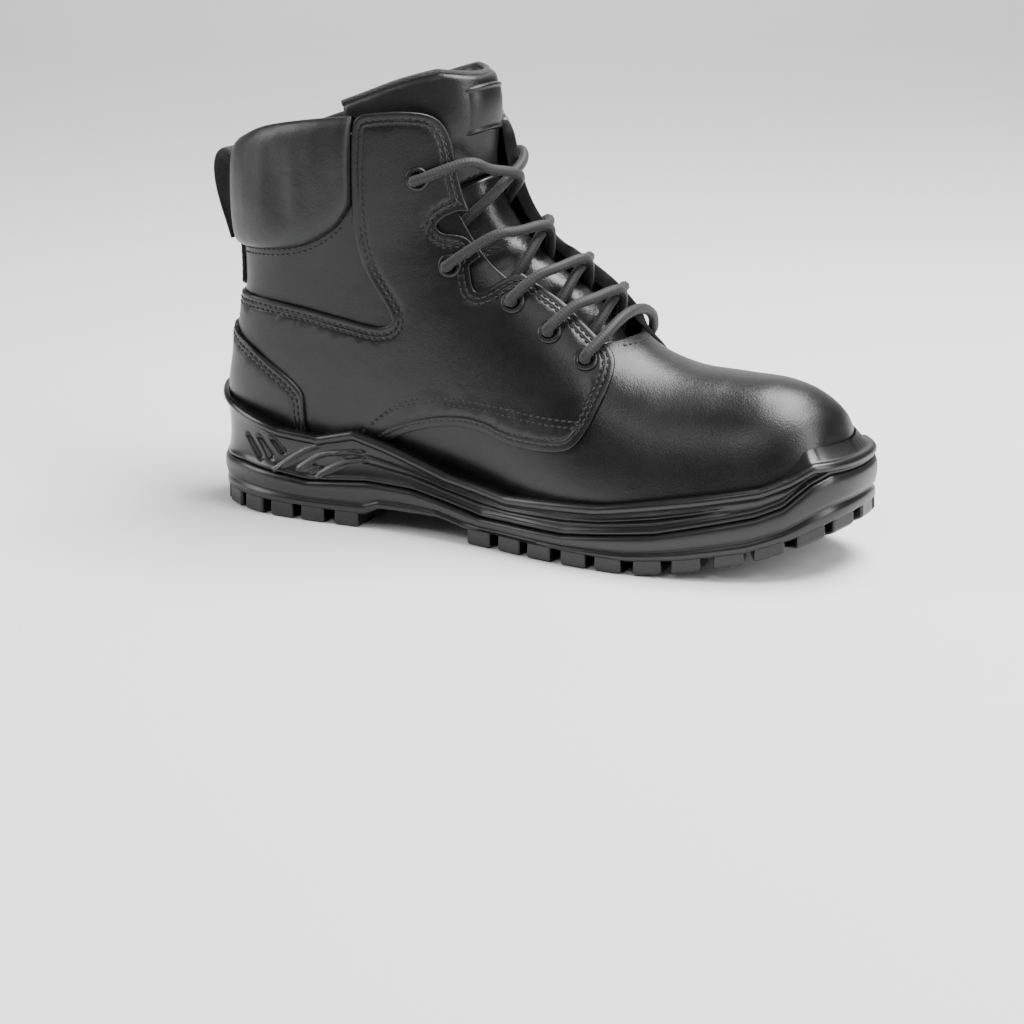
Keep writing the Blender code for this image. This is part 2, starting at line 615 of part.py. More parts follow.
def build_sole():
    ring = plan_curve(60)
    pocket = closed_last("foot_pocket", pocket_depth, (0.0, 13.0))
    floor_xs = [p[0] for p in FLOOR]
    above = [(-170, FLOOR[0][1])] + [(x, height(FLOOR, x * MM) / MM) for x in floor_xs]
    above += [(170, FLOOR[-1][1]), (170, 240), (-170, 240)]
    boolean(pocket, prism("pocket_top", above, -0.1, 0.1), "INTERSECT")
    midsole = wall_solid("midsole", [
        wall_ring(ring, 1.2 * MM, PARTING, GAP),
        wall_ring(ring, 1.2 * MM, PARTING, 3 * MM),
        wall_ring(ring, 2.0 * MM, RIM_TOP, -1 * MM),
        wall_ring(ring, 2.5 * MM, RIM_TOP, 0.0)], POLYURETHANE)
    boolean(midsole, pocket, "DIFFERENCE")
    outsole = wall_solid("outsole", [
        wall_ring(ring, 2.5 * MM, TREAD_BASE, 0.0),
        wall_ring(ring, 0.4 * MM, TREAD_BASE, 2.5 * MM),
        wall_ring(ring, 0.0, PARTING, -2 * MM),
        wall_ring(ring, 0.8 * MM, PARTING, 0.0)], RUBBER)
    boolean(outsole, lug_blocks("tread_blocks"), "UNION").use_self = True
    boolean(outsole, pocket, "DIFFERENCE")
    inner = closed_last("inside_of_lining", INSIDE_LINING, (0.0, 13.0), 0.0)
    span = (-150, 150)
    plate_at = GAP
    board_at = plate_at + PLATE_THICK + GAP
    footbed_at = board_at + BOARD_THICK + GAP
    slab("puncture_plate", plate_at, PLATE_THICK, STEEL, span, inner)
    slab("insole_board", board_at, BOARD_THICK, FIBRE, span, inner)
    slab("footbed", footbed_at, FOOTBED_THICK, FOAM, span, inner)
    half = SHANK_SIZE[0] / 2 / MM
    centre = SHANK_X / MM
    xs = np.linspace(centre - half, centre + half, 7)
    low = [(x, height(FLOOR, x * MM) / MM - 0.3 - SHANK_SIZE[2] / MM) for x in xs]
    high = [(x, height(FLOOR, x * MM) / MM - 0.3) for x in xs[::-1]]
    shank_body = prism("shank_band", low + high, -SHANK_SIZE[1] / 2, SHANK_SIZE[1] / 2)
    add_object("shank", shank_body.data.copy(), BOOT, STEEL)
    reach = np.linspace(centre - half - 0.4, centre + half + 0.4, 7)
    deep = [(x, height(FLOOR, x * MM) / MM - 0.7 - SHANK_SIZE[2] / MM) for x in reach]
    recess = deep + [(reach[-1], 40.0), (reach[0], 40.0)]
    wide = SHANK_SIZE[1] / 2 + 0.4 * MM
    boolean(midsole, prism("shank_recess", recess, -wide, wide), "DIFFERENCE")


# ==== tongue ============================================================================
def tongue_depth(u, y):
    """The tongue bulges up between the facings and lies deep beneath them."""
    upper = smooth_step(*TONGUE_WIDENS, u)
    reach = TONGUE_CROWN[0] + (TONGUE_CROWN[1] - TONGUE_CROWN[0]) * upper
    top = TONGUE_CENTRE_DEPTH[0] + (TONGUE_CENTRE_DEPTH[1] - TONGUE_CENTRE_DEPTH[0]) * upper
    crown = math.exp(-(abs(y) / reach) ** 4)
    return TONGUE_SIDE_DEPTH + (top - TONGUE_SIDE_DEPTH) * crown


def tongue_row(u, lift):
    row = []
    for j in range(-5, 6):
        side = 1 if j > 0 else -1
        t = 1 - 0.45 * (abs(j) / 5) ** 2
        deep = skin(u, t, side, TONGUE_SIDE_DEPTH)
        row.append(skin(u, t, side, tongue_depth(u, deep.y) + lift))
    return row


def tongue_piece(name, u_low, u_high, thick, material, count):
    lines = [u_low + (u_high - u_low) * i / count for i in range(count + 1)]
    fade = [(-4.6 * MM * (1 - smooth_step(5.7, 7.2, u))) for u in lines]
    mesh = grid_mesh(name, [tongue_row(u, lift) for u, lift in zip(lines, fade)])
    return thickened(name, mesh, thick, material, TONGUE_INSIDE)


def build_tongue():
    tongue_piece("tongue_lower", TONGUE_START, TONGUE_SPLIT - 0.02, TONGUE_LOWER_THICK, LEATHER, 9)
    pad = tongue_piece("tongue_pad", TONGUE_SPLIT, TONGUE_END, TONGUE_PAD_THICK, LEATHER, 6)
    boolean(pad, prism("tongue_top_outline", TONGUE_TOP, -0.1, 0.1), "INTERSECT")
    rows = []
    for i in range(5):
        u = 11.1 + 0.26 * i
        row = []
        for j in range(-3, 4):
            side = 1 if j > 0 else -1
            t = 1 - 0.012 * (abs(j) / 3) ** 2 * 2
            row.append(skin(u, t, side, TONGUE_CENTRE_DEPTH[1] + 1.6 * MM))
        rows.append(row)
    mesh = grid_mesh("tongue_patch", rows)
    thickened("tongue_patch", mesh, 1.2 * MM, LEATHER, TONGUE_INSIDE)


# ==== eyelets, laces, loop ==================================================================
def build_eyelet(name, origin, normal):
    """Turned eyelet: a flange on the facing and a barrel through its layers."""
    profile = ((EYELET_BORE, 3.3), (EYELET_FLANGE, 2.9), (EYELET_FLANGE, 2.2),
               (EYELET_BARREL, 2.2), (EYELET_BARREL, -3.8), (EYELET_BORE, -3.8))
    sides = 10
    rows = []
    spin = normal.to_track_quat("Z", "Y")
    for i in range(sides):
        angle = 2 * math.pi * i / sides
        rows.append([origin + spin @ Vector((r * math.cos(angle), r * math.sin(angle), h * MM))
                     for r, h in profile])
    width = len(profile)
    points = [tuple(p) for row in rows for p in row]
    faces = []
    for i in range(sides):
        k = (i + 1) % sides
        for j in range(width):
            n = (j + 1) % width
            faces.append((i * width + j, i * width + n, k * width + n, k * width + j))
    mesh = bpy.data.meshes.new(name)
    mesh.from_pydata(points, [], faces)
    bm = bmesh.new()
    bm.from_mesh(mesh)
    bmesh.ops.recalc_face_normals(bm, faces=bm.faces)
    bm.to_mesh(mesh)
    bm.free()
    add_object(name, mesh, BOOT, BLACK_METAL)


def tube(name, points, radius, material, resolution=2):
    curve = bpy.data.curves.new(name, "CURVE")
    curve.dimensions = "3D"
    curve.bevel_depth = radius
    curve.bevel_resolution = resolution
    curve.use_fill_caps = True
    spline = curve.splines.new("POLY")
    spline.points.add(len(points) - 1)
    for spot, point in zip(spline.points, points):
        spot.co = (*point, 1.0)
    curve.materials.append(material)
    obj = bpy.data.objects.new(name, curve)
    BOOT.objects.link(obj)
    return obj


def lace_route():
    """The lace from its tucked end at the outer side to the one at the inner side."""
    frames = {}
    for side in (-1, 1):
        for row, (x, z) in enumerate(EYELETS):
            frames[side, row] = skin_frame(x * MM, z * MM, side)

    def station(row):
        return locate(EYELETS[row][0] * MM, EYELETS[row][1] * MM)[0]

    def through(side, row):
        """From the outside of an eyelet to its inside."""
        origin, normal = frames[side, row]
        return [origin + normal * h * MM for h in (6.0, 1.0, -4.0, -7.5)]

    def crossing(side, row, lift):
        """From under the facing at an eyelet, over the gap, to the next one above."""
        low = station(row)
        high = station(row - 1)
        part = [low + (high - low) * f for f in (0.12, 0.24, 0.34, 0.5, 0.7, 0.9)]
        return [skin_at_width(part[0], side * 24 * MM, -7.7 * MM),
                skin_at_width(part[1], side * 17.5 * MM, -7.0 * MM),
                skin_at_width(part[2], side * 10 * MM, -1.4 * MM),
                skin_at_width(part[3], 0.3 * MM * side, lift),
                skin_at_width(part[4], -side * 14 * MM, 6.6 * MM),
                skin_at_width(part[5], -side * 23 * MM, 6.8 * MM)]

    def half(start_side):
        """From the bottom eyelet of one side up to the tucked end inside the shaft."""
        side = start_side
        points = []
        for row in range(4, 0, -1):
            points += through(side, row)
            points += crossing(side, row, FAR_STRAND if side < 0 else NEAR_STRAND)
            side = -side
        points += through(side, 0)
        for x, z in TUCKED_END:
            points.append(skin(*locate(x * MM, z * MM), side, LACE_INSIDE))
        return points
    first = half(-1)
    second = half(1)
    bar = [skin_at_width(station(4), y * MM, 6.8 * MM) for y in (-22, -11, -0.3, 11, 22)]
    return list(reversed(first)) + bar + second


def build_lacing():
    for word, side in (("lateral", -1), ("medial", 1)):
        for number, (x, z) in enumerate(EYELETS, 1):
            origin, normal = skin_frame(x * MM, z * MM, side)
            build_eyelet(f"eyelet_{word}_{number}", origin, normal)
    route = lace_route()
    tube("lace", route, LACE_RADIUS, CORD)
    for word, end, before in (("lateral", route[0], route[1]), ("medial", route[-1], route[-2])):
        along = (end - before).normalized()
        tube(f"lace_aglet_{word}", [end + along * GAP, end + along * 22 * MM], 1.9 * MM, PLASTIC)


def build_pull_loop():
    """A flat webbing loop sewn to the back of the collar, standing off it."""
    side_view = ((-145.3, 156), (-147.5, 158.5), (-151, 158), (-154, 154), (-154.8, 149),
                 (-154, 142), (-151.5, 133), (-148.3, 124), (-145.9, 117))
    thick = 1.6
    outer = []
    inner = []
    for i, (x, z) in enumerate(side_view):
        before = side_view[max(i - 1, 0)]
        after = side_view[min(i + 1, len(side_view) - 1)]
        along = Vector((after[0] - before[0], after[1] - before[1])).normalized()
        outer.append((x, z))
        inner.append((x - along.y * thick, z + along.x * thick))
    outline = outer + inner[::-1]
    half = 9.5 * MM
    body = prism("pull_loop_band", outline, -half, half)
    add_object("pull_loop", body.data.copy(), BOOT, WEBBING)


# ==== assembly =================================================================================
for old in list(bpy.data.objects):
    bpy.data.objects.remove(old, do_unlink=True)

BOOT = new_collection("steel_toe_work_boot")
CUTTERS = new_collection("cutters")

LEATHER = make_material("black_leather", (0.018, 0.018, 0.02), 0.42)
MESH_CLOTH = make_material("grey_mesh_cloth", (0.06, 0.06, 0.065), 0.9)
RUBBER = make_material("black_rubber", (0.02, 0.02, 0.021), 0.5)
POLYURETHANE = make_material("black_polyurethane", (0.025, 0.025, 0.027), 0.45)
STEEL = make_material("steel", (0.55, 0.56, 0.58), 0.35, 1.0)
FIBRE = make_material("fibre_board", (0.45, 0.36, 0.25), 0.85)
FOAM = make_material("footbed_foam", (0.05, 0.05, 0.055), 0.9)
CORD = make_material("black_cord", (0.03, 0.03, 0.032), 0.8)
PLASTIC = make_material("aglet_plastic", (0.02, 0.02, 0.02), 0.3)
BLACK_METAL = make_material("black_enamelled_brass", (0.02, 0.02, 0.02), 0.3, 0.6)
WEBBING = make_material("black_webbing", (0.025, 0.025, 0.027), 0.85)

build_upper()
build_sole()
build_tongue()
build_lacing()
build_pull_loop()
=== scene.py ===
"""The look of the black safety work boot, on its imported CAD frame.

World frame: +X to the toe, +Y to the inner (medial) side, +Z up, metres.
Every panel of the upper lies on one skin, addressed by (u, a).  u runs from the
toe (0) to above the collar (12.8); a is the angle round a section: 0 at the base or
the back of the heel, pi on the ridge, positive on the inner (medial) side and
negative, or beyond pi, on the outer (lateral) side.
"""
import math

import bpy
import numpy as np
from mathutils import Matrix, Vector, noise
from mathutils.geometry import delaunay_2d_cdt
from mathutils.kdtree import KDTree


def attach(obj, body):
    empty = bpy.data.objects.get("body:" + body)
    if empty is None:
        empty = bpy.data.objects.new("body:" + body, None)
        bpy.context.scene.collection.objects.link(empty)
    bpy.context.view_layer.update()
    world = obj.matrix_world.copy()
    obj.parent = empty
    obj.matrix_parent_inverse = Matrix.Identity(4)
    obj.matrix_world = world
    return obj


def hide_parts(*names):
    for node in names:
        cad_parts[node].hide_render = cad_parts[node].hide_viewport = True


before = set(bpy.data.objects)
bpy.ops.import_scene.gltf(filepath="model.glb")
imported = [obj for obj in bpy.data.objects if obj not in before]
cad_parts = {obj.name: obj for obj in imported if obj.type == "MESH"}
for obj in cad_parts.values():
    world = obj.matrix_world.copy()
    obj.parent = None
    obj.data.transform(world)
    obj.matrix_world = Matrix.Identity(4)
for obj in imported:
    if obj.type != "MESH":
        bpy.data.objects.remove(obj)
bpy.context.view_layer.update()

MM = 0.001
PI = math.pi
SIDES = (("lateral", -1), ("medial", 1))

# ==== driving dimensions ===========================================================
# station, ridge x, ridge z, base x, base z, half width, ridge power, base power, centre y
STATIONS = np.array([
    (0.0, 149.0, 34.0, 149.0, 30.0, 2.0, 2.6, 14.0, 2.5),
    (0.6, 148.5, 44.6, 147.5, 25.0, 9.8, 2.7, 14.0, 2.5),
    (1.2, 145.5, 54.5, 144.0, 22.0, 17.8, 2.8, 14.0, 2.5),
    (1.8, 140.8, 64.0, 138.0, 19.0, 27.5, 2.8, 14.0, 2.3),
    (2.4, 132.0, 70.6, 129.0, 17.0, 34.2, 2.75, 14.0, 2.0),
    (3.1, 119.3, 75.0, 114.0, 14.0, 39.8, 2.65, 14.0, 1.5),
    (4.0, 98.0, 76.6, 91.0, 11.0, 44.2, 2.5, 14.0, 0.5),
    (4.9, 76.0, 78.6, 64.0, 10.0, 47.0, 2.5, 14.0, -1.0),
    (5.7, 58.0, 85.5, 36.0, 11.0, 45.5, 2.8, 12.0, -2.0),
    (6.5, 42.0, 99.0, 8.0, 11.0, 41.0, 3.4, 9.0, -1.5),
    (7.3, 25.0, 111.5, -22.0, 13.0, 37.0, 4.4, 7.0, -0.5),
    (8.1, 9.0, 122.0, -62.0, 15.0, 35.0, 5.4, 7.0, 0.0),
    (8.9, -3.0, 134.0, -114.0, 16.0, 34.5, 6.2, 7.0, 0.0),
    (9.6, -9.5, 146.0, -144.5, 40.0, 35.0, 6.4, 7.0, 0.0),
    (10.3, -13.0, 159.0, -143.0, 66.0, 36.0, 6.0, 7.0, 0.0),
    (11.0, -15.5, 172.0, -138.2, 96.0, 38.0, 5.2, 6.0, 0.0),
    (11.8, -17.5, 186.0, -138.6, 132.0, 40.0, 4.6, 4.8, 0.0),
    (12.8, -20.0, 205.0, -139.0, 190.0, 41.0, 4.0, 4.2, 0.0)])
TOE_TURN = (2.5, 4.0)
PLANE = np.array((18.0, 36.0))     # rough millimetres per unit of u and of a

# outer face and thickness of each layer, in millimetres from the skin
VAMP_FACE, OVERLAY_FACE, PATCH_FACE, UNDERLAY_FACE = 0.0, 1.9, 3.6, -1.5

# side-view outlines (x, z in millimetres)
QUARTER_EDGE = ((-61, 179), (-50, 180.5), (-41, 181), (-32, 180), (-27, 176.5), (-24, 169),
                (-22.5, 160), (-21, 152), (-18.5, 142), (-13, 132), (-6, 123), (2, 116), (7, 114),
                (16, 109), (27, 103), (36, 96), (45, 89), (51, 84.5), (54.5, 79), (54.5, 71),
                (51, 59), (47, 51.5), (42, 47.5), (32, 46), (19, 46), (8, 47), (-1, 50),
                (-13, 51), (-28, 49), (-44, 44), (-56, 37), (-64, 30), (-100, 29), (-128, 31),
                (-148, 38), (-160, 70), (-160, 97.5), (-124, 98), (-109, 97), (-92, 95),
                (-72, 92), (-56, 89), (-49, 90), (-46.5, 93), (-50, 99), (-57, 109),
                (-61.5, 118), (-63.5, 130), (-63.5, 145), (-62.5, 165))
# the inner side's facing stands further forward and a little proud
INNER_FRONT = {(-32, 180): (-28, 181), (-27, 176.5): (-21, 178), (-24, 169): (-17.5, 170),
               (-22.5, 160): (-15.5, 160), (-21, 152): (-14, 151.5), (-18.5, 142): (-11, 142.5),
               (-13, 132): (-6, 133), (-6, 123): (1, 125), (2, 116): (9, 118.5),
               (7, 114): (14, 116), (16, 109): (22, 111), (27, 103): (32, 104.5),
               (36, 96): (40, 97.5), (45, 89): (47, 91)}
ANKLE_EDGE = ((-160, 93), (-92, 90), (-55, 84), (-42, 86), (-41, 95), (-51, 112), (-57, 130),
              (-57, 172), (-72, 172), (-72, 141), (-80, 131), (-92, 127), (-118, 124), (-160, 123))
COUNTER_EDGE = ((-160, 86), (-141, 84.5), (-128, 79), (-120, 75), (-110, 70), (-101, 64.5),
                (-95.5, 60), (-93, 56), (-93.5, 48), (-94, 36), (-110, 34), (-130, 36),
                (-148, 42), (-160, 50))
UNDERLAY_EDGE = ((-48, 176), (-33, 177), (-28.5, 172), (-26, 163), (-24, 150), (-19.5, 138.5),
                 (-8, 121), (5.5, 111.5), (26, 99.5), (39, 89), (40, 72), (26, 74), (-2, 88),
                 (-26, 104), (-40, 124), (-50, 150))
LINING_EDGE = ((-170, 34), (-112, 34), (-62, 32), (-22, 29), (8, 25), (39, 23), (40, 50), (30, 68),
               (12, 80), (-12, 96), (-34, 118), (-46, 148), (-46, 175.5), (-64, 175.5), (-96, 172),
               (-124, 165), (-170, 157))
WINDOWS = (((-14, 137), (-19, 139), (-23, 138), (-27.5, 135), (-28.5, 132.5), (-26, 130),
            (-21, 129.6), (-17, 128.5), (-14, 126), (-8, 118), (4, 116)),
           ((8, 113.5), (3, 112.6), (-1, 110), (-5.5, 107), (-9, 106), (-11, 108.3), (-12.6, 113),
            (-14, 118), (0, 124)))
COLLAR_LOW = ((-160, 118), (-138, 118.2), (-118, 119), (-102, 120), (-90, 122), (-80, 126),
              (-70.5, 132.5), (-63.8, 141))
COLLAR_HIGH = ((-160, 157), (-138, 161.5), (-124, 167), (-110, 172), (-96, 174.8),
               (-80, 177), (-61.8, 178.8))
STRAP_UPPER = ((-67, 41), (-60, 47), (-52, 53), (-43, 58), (-30, 61.5), (-13, 62), (7, 61),
               (28, 59.3), (47, 59))
EYELETS = ((-35, 153), (-21, 117), (8, 103), (26, 92), (43, 82))
TUCKED_END = ((-40, 147), (-45, 137), (-49, 126), (-52, 114), (-54, 102))

# sole: heights along the boot (x, z in millimetres)
RIM_TOP = ((-156, 54), (-146, 51), (-127, 46), (-105, 41), (-84, 39.5), (-66, 43.5), (-49, 39),
           (-20, 30), (12, 25), (59, 28), (101, 35), (126, 39.5), (136, 43.5), (144, 48.5), (156, 48.5))
PARTING = ((-156, 21), (-128, 22), (-90, 18.5), (-60, 21), (-37, 20), (-1, 13), (42, 13),
           (84, 18), (124, 27), (134, 31), (143, 39.5), (149, 43), (156, 43))
TREAD_BASE = ((-156, 7), (-62, 6), (-54, 9.5), (-24, 9.5), (-10, 6.5), (72, 5.5), (95, 8),
              (120, 12.2), (138, 18), (156, 26.5))
GROUND_LINE = ((-156, 0), (75, 0), (95, 3), (120, 8), (138, 14), (156, 22))
SOLE_PLAN = ((155, 2.5), (152.5, -13), (145, -26), (130, -37.8), (107, -46.8), (80, -52),
             (55, -52.75), (30, -49.8), (5, -44.5), (-20, -41), (-50, -40), (-85, -41),
             (-115, -39.5), (-138, -30), (-151, -15), (-155, 0), (-151, 15), (-138, 29),
             (-115, 38.5), (-85, 39.5), (-50, 38), (-20, 37), (5, 39.8), (30, 46.3), (55, 51.7),
             (80, 52.75), (107, 48.6), (130, 40.2), (145, 30), (153, 18))
LUG_SIZE = (12.0, 15.0)

LUG_PITCH, LUG_INSET = 17.0, 8.8
ARCH = (-58, -6)                    # stretch of the waist without edge lugs

LACE_RADIUS, BRAID_STEP = 2.12, 0.45

# thread: length of a stitch, gap after it, radius
STITCH, STITCH_GAP, THREAD = 2.3, 0.8, 0.46
EDGE_ROWS, COUNTER_ROWS = (3.0, 5.2), (2.8, 5.0)
STRAP_ROW_GAP, COLLAR_ROW_GAP = 2.6, 2.4
CLOTH_FRAMES, SMOOTHING_PASSES = 12, 14


# ==== numeric helpers =================================================================
def rows_of(points):
    return np.asarray(points, float)


def ease(low, high, x):
    t = np.clip((x - low) / (high - low), 0.0, 1.0)
    return t * t * (3 - 2 * t)


def bell(x, centre, width):
    return np.exp(-((x - centre) / width) ** 2)


def height(profile, x):
    table = rows_of(profile)
    return np.interp(x, table[:, 0], table[:, 1])


def spline(points, count, closed=False):
    """Catmull-Rom curve through the points, with count samples for each span."""
    p = rows_of(points)
    spans = len(p) if closed else len(p) - 1
    out = []
    for k in range(spans):
        pick = [(k + n) % len(p) if closed else min(max(k + n, 0), len(p) - 1)
                for n in (-1, 0, 1, 2)]
        a, b, c, d = (p[i] for i in pick)
        for n in range(count):
            t = n / count
            out.append(0.5 * (2 * b + (c - a) * t + (2 * a - 5 * b + 4 * c - d) * t * t
                              + (3 * b - a - 3 * c + d) * t ** 3))
    if not closed:
        out.append(p[-1])
    return np.array(out)


def lengths(line):
    return np.r_[0.0, np.cumsum(np.linalg.norm(np.diff(line, axis=0), axis=1))]


def respaced(line, along, spacing):
    """The rows of line at even steps of the length measured along."""
    count = max(2, int(round(along[-1] / spacing)) + 1)
    at = np.linspace(0, along[-1], count)
    return np.column_stack([np.interp(at, along, line[:, i]) for i in range(line.shape[1])])


def unit(v):
    return v / np.maximum(np.linalg.norm(v, axis=-1, keepdims=True), 1e-12)


def wander(points, scale, seed=0.0):
    """Smooth noise at each point, from -1 to 1."""
    shift = Vector((seed * 3.1, seed * 1.7, seed * 2.3))
    return np.array([noise.noise(Vector(p) * scale + shift) for p in points])


# ==== the skin ========================================================================
KNOTS = STATIONS[:, 0]
VALUES = STATIONS[:, 1:]
STEP = np.diff(KNOTS)
SLOPE = np.diff(VALUES, axis=0) / STEP[:, None]
TANGENT = np.vstack([SLOPE[:1],
                     (SLOPE[:-1] * STEP[1:, None] + SLOPE[1:] * STEP[:-1, None])
                     / (STEP[:-1] + STEP[1:])[:, None],
                     SLOPE[-1:]])


def girths(u):
    """The sections' columns at each u, on a smooth curve through the stations."""
    u = np.clip(u, 0.0, KNOTS[-1])
    i = np.clip(np.searchsorted(KNOTS, u, side="right") - 1, 0, len(STEP) - 1)
    t = ((u - KNOTS[i]) / STEP[i])[:, None]
    a = 2 * t ** 3 - 3 * t ** 2 + 1
    b = (t ** 3 - 2 * t ** 2 + t) * STEP[i][:, None]
    c = (t ** 3 - t ** 2) * STEP[i][:, None]
    return a * VALUES[i] + b * TANGENT[i] + (1 - a) * VALUES[i + 1] + c * TANGENT[i + 1]


def outward(u, column, sign):
    """Side-view normal of the ridge or base curve at each u."""
    step = girths(u + 0.02)[:, column:column + 2] - girths(u - 0.02)[:, column:column + 2]
    return sign * unit(np.column_stack([step[:, 1], -step[:, 0]]))


def skin(u, a, depth=0.0):
    """Points, in metres, at depth millimetres outside the skin."""
    u, a, depth = np.broadcast_arrays(*(np.asarray(v, float) for v in (u, a, depth)))
    shape = u.shape
    u, a, depth = u.ravel(), a.ravel(), depth.ravel()
    rx, rz, bx, bz, width, ridge_p, base_p, centre = girths(u).T
    toe = 1 - ease(*TOE_TURN, u)
    front = outward(u, 0, 1)
    under = outward(u, 2, -1)
    rx = rx + depth * front[:, 0]
    rz = rz + depth * front[:, 1]
    bx = bx + depth * (toe * front[:, 0] + (1 - toe) * under[:, 0])
    bz = bz + depth * (1 - toe) * under[:, 1]
    width = np.maximum(width + depth * (toe * front[:, 1] + 1 - toe), 0.2)
    t = np.sin(a / 2) ** 2
    profile = np.sqrt(np.maximum(1 - t ** ridge_p, 0)) * np.sqrt(np.maximum(1 - (1 - t) ** base_p, 0))
    points = np.column_stack([bx + (rx - bx) * t, centre + np.sign(np.sin(a)) * width * profile,
                              bz + (rz - bz) * t])
    return (points * MM).reshape(shape + (3,))


def locate(points, side):
    """(u, a) of side-view points in millimetres, on one side of the boot."""
    p = rows_of(points)

    def miss(u):
        g = girths(u)
        span = g[:, 0:2] - g[:, 2:4]
        away = p - g[:, 2:4]
        return span[:, 0] * away[:, 1] - span[:, 1] * away[:, 0]
    low = np.full(len(p), 0.3)
    high = np.full(len(p), KNOTS[-1])
    start = miss(low)
    for _ in range(40):
        middle = 0.5 * (low + high)
        left = start * miss(middle) <= 0
        high = np.where(left, middle, high)
        low = np.where(left, low, middle)
    g = girths(low)
    span = g[:, 0:2] - g[:, 2:4]
    t = np.sum((p - g[:, 2:4]) * span, axis=1) / np.sum(span * span, axis=1)
    return np.column_stack([low, side * 2 * np.arcsin(np.sqrt(np.clip(t, 0.0, 1.0)))])


def axes_at(where, depth=0.0):
    """Point, both tangents and the outward normal of the skin at rows of (u, a)."""
    u, a = where[:, 0], where[:, 1]
    h = 0.004
    spot = skin(u, a, depth)
    along_u = (skin(u + h, a, depth) - skin(u - h, a, depth)) / (2 * h)
    along_a = (skin(u, a + h, depth) - skin(u, a - h, depth)) / (2 * h)
    normal = unit(np.cross(along_u, along_a))
    out = skin(u, a, depth + 1.0) - spot
    flip = np.sign(np.sum(out * normal, axis=1))[:, None]
    return spot, along_u, along_a, normal * flip


def stepped(where, turn, distance, depth=0.0):
    """Rows of (u, a) moved sideways by distance millimetres, to the left of their line."""
    spot, along_u, along_a, _ = axes_at(where, depth)
    travel = unit(np.gradient(spot, axis=0) if not turn else
                  np.roll(spot, -1, axis=0) - np.roll(spot, 1, axis=0))
    left = np.cross(unit(np.cross(along_u, along_a)), travel) * distance * MM
    uu = np.sum(along_u * along_u, axis=1)
    ua = np.sum(along_u * along_a, axis=1)
    aa = np.sum(along_a * along_a, axis=1)
    bu = np.sum(left * along_u, axis=1)
    ba = np.sum(left * along_a, axis=1)
    det = np.maximum(uu * aa - ua * ua, 1e-14)
    return where + np.column_stack([(bu * aa - ba * ua) / det, (ba * uu - bu * ua) / det])


# ==== mesh helpers ======================================================================
def piece(name, points, faces, material, body="boot", replaces=(), smooth=True):
    mesh = bpy.data.meshes.new(name)
    mesh.from_pydata([tuple(p) for p in points], [], [tuple(int(i) for i in f) for f in faces])
    for m in material if isinstance(material, (list, tuple)) else [material]:
        mesh.materials.append(m)
    if smooth:
        mesh.shade_smooth()
    obj = bpy.data.objects.new(name, mesh)
    bpy.context.scene.collection.objects.link(obj)
    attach(obj, body)
    if replaces:
        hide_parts(*replaces)
    return obj


def grid_faces(rows, columns, wrap=False):
    faces = []
    for i in range(rows - 1):
        for j in range(columns if wrap else columns - 1):
            k = (j + 1) % columns
            faces.append((i * columns + j, i * columns + k,
                          (i + 1) * columns + k, (i + 1) * columns + j))
    return faces


def kd_tree(points):
    tree = KDTree(len(points))
    for i, p in enumerate(points):
        tree.insert(p, i)
    tree.balance()
    return tree


def distances(points, tree):
    return np.array([tree.find(p)[2] for p in points]) / MM


def inside(points, loops):
    """Even-odd test of plane points against closed loops."""
    hit = np.zeros(len(points), bool)
    for loop in loops:
        for p, q in zip(loop, np.roll(loop, -1, axis=0)):
            crosses = (p[1] > points[:, 1]) != (q[1] > points[:, 1])
            if crosses.any():
                at = p[0] + (points[:, 1] - p[1]) * (q[0] - p[0]) / (q[1] - p[1] + 1e-15)
                hit ^= crosses & (points[:, 0] < at)
    return hit


def rounded(outline, passes=2):
    """Corner-cut closed outline."""
    p = rows_of(outline)
    for _ in range(passes):
        q = np.roll(p, -1, axis=0)
        p = np.column_stack([0.75 * p + 0.25 * q, 0.25 * p + 0.75 * q]).reshape(-1, 2)
    return p


def closed_loop(where, depth, spacing, hole=False):
    """Evenly spaced (u, a) rows of a closed line, with the material on its left."""
    ring = np.vstack([where, where[:1]])
    ring = respaced(ring, lengths(skin(ring[:, 0], ring[:, 1], depth)) / MM, spacing)[:-1]
    flat = ring * PLANE
    after = np.roll(flat, -1, axis=0)
    area = np.sum(flat[:, 0] * after[:, 1] - after[:, 0] * flat[:, 1])
    if (area < 0) != hole:
        ring = ring[::-1]
    return ring


def one_side(outline, side, passes=2):
    return locate(rounded(outline, passes), side)


def around_back(outline, passes=2):
    """Outline mirrored about the back seam: the outer side's points, then the inner's."""
    p = rounded(outline, passes)
    first = int(np.argmin(p[:, 0] + 0.0001 * p[:, 1]))
    p = np.roll(p, -first, axis=0)
    right = locate(p, 1)
    right = right[right[:, 1] > 0.01]
    left = right[::-1] * (1, -1)
    return np.vstack([right, left])


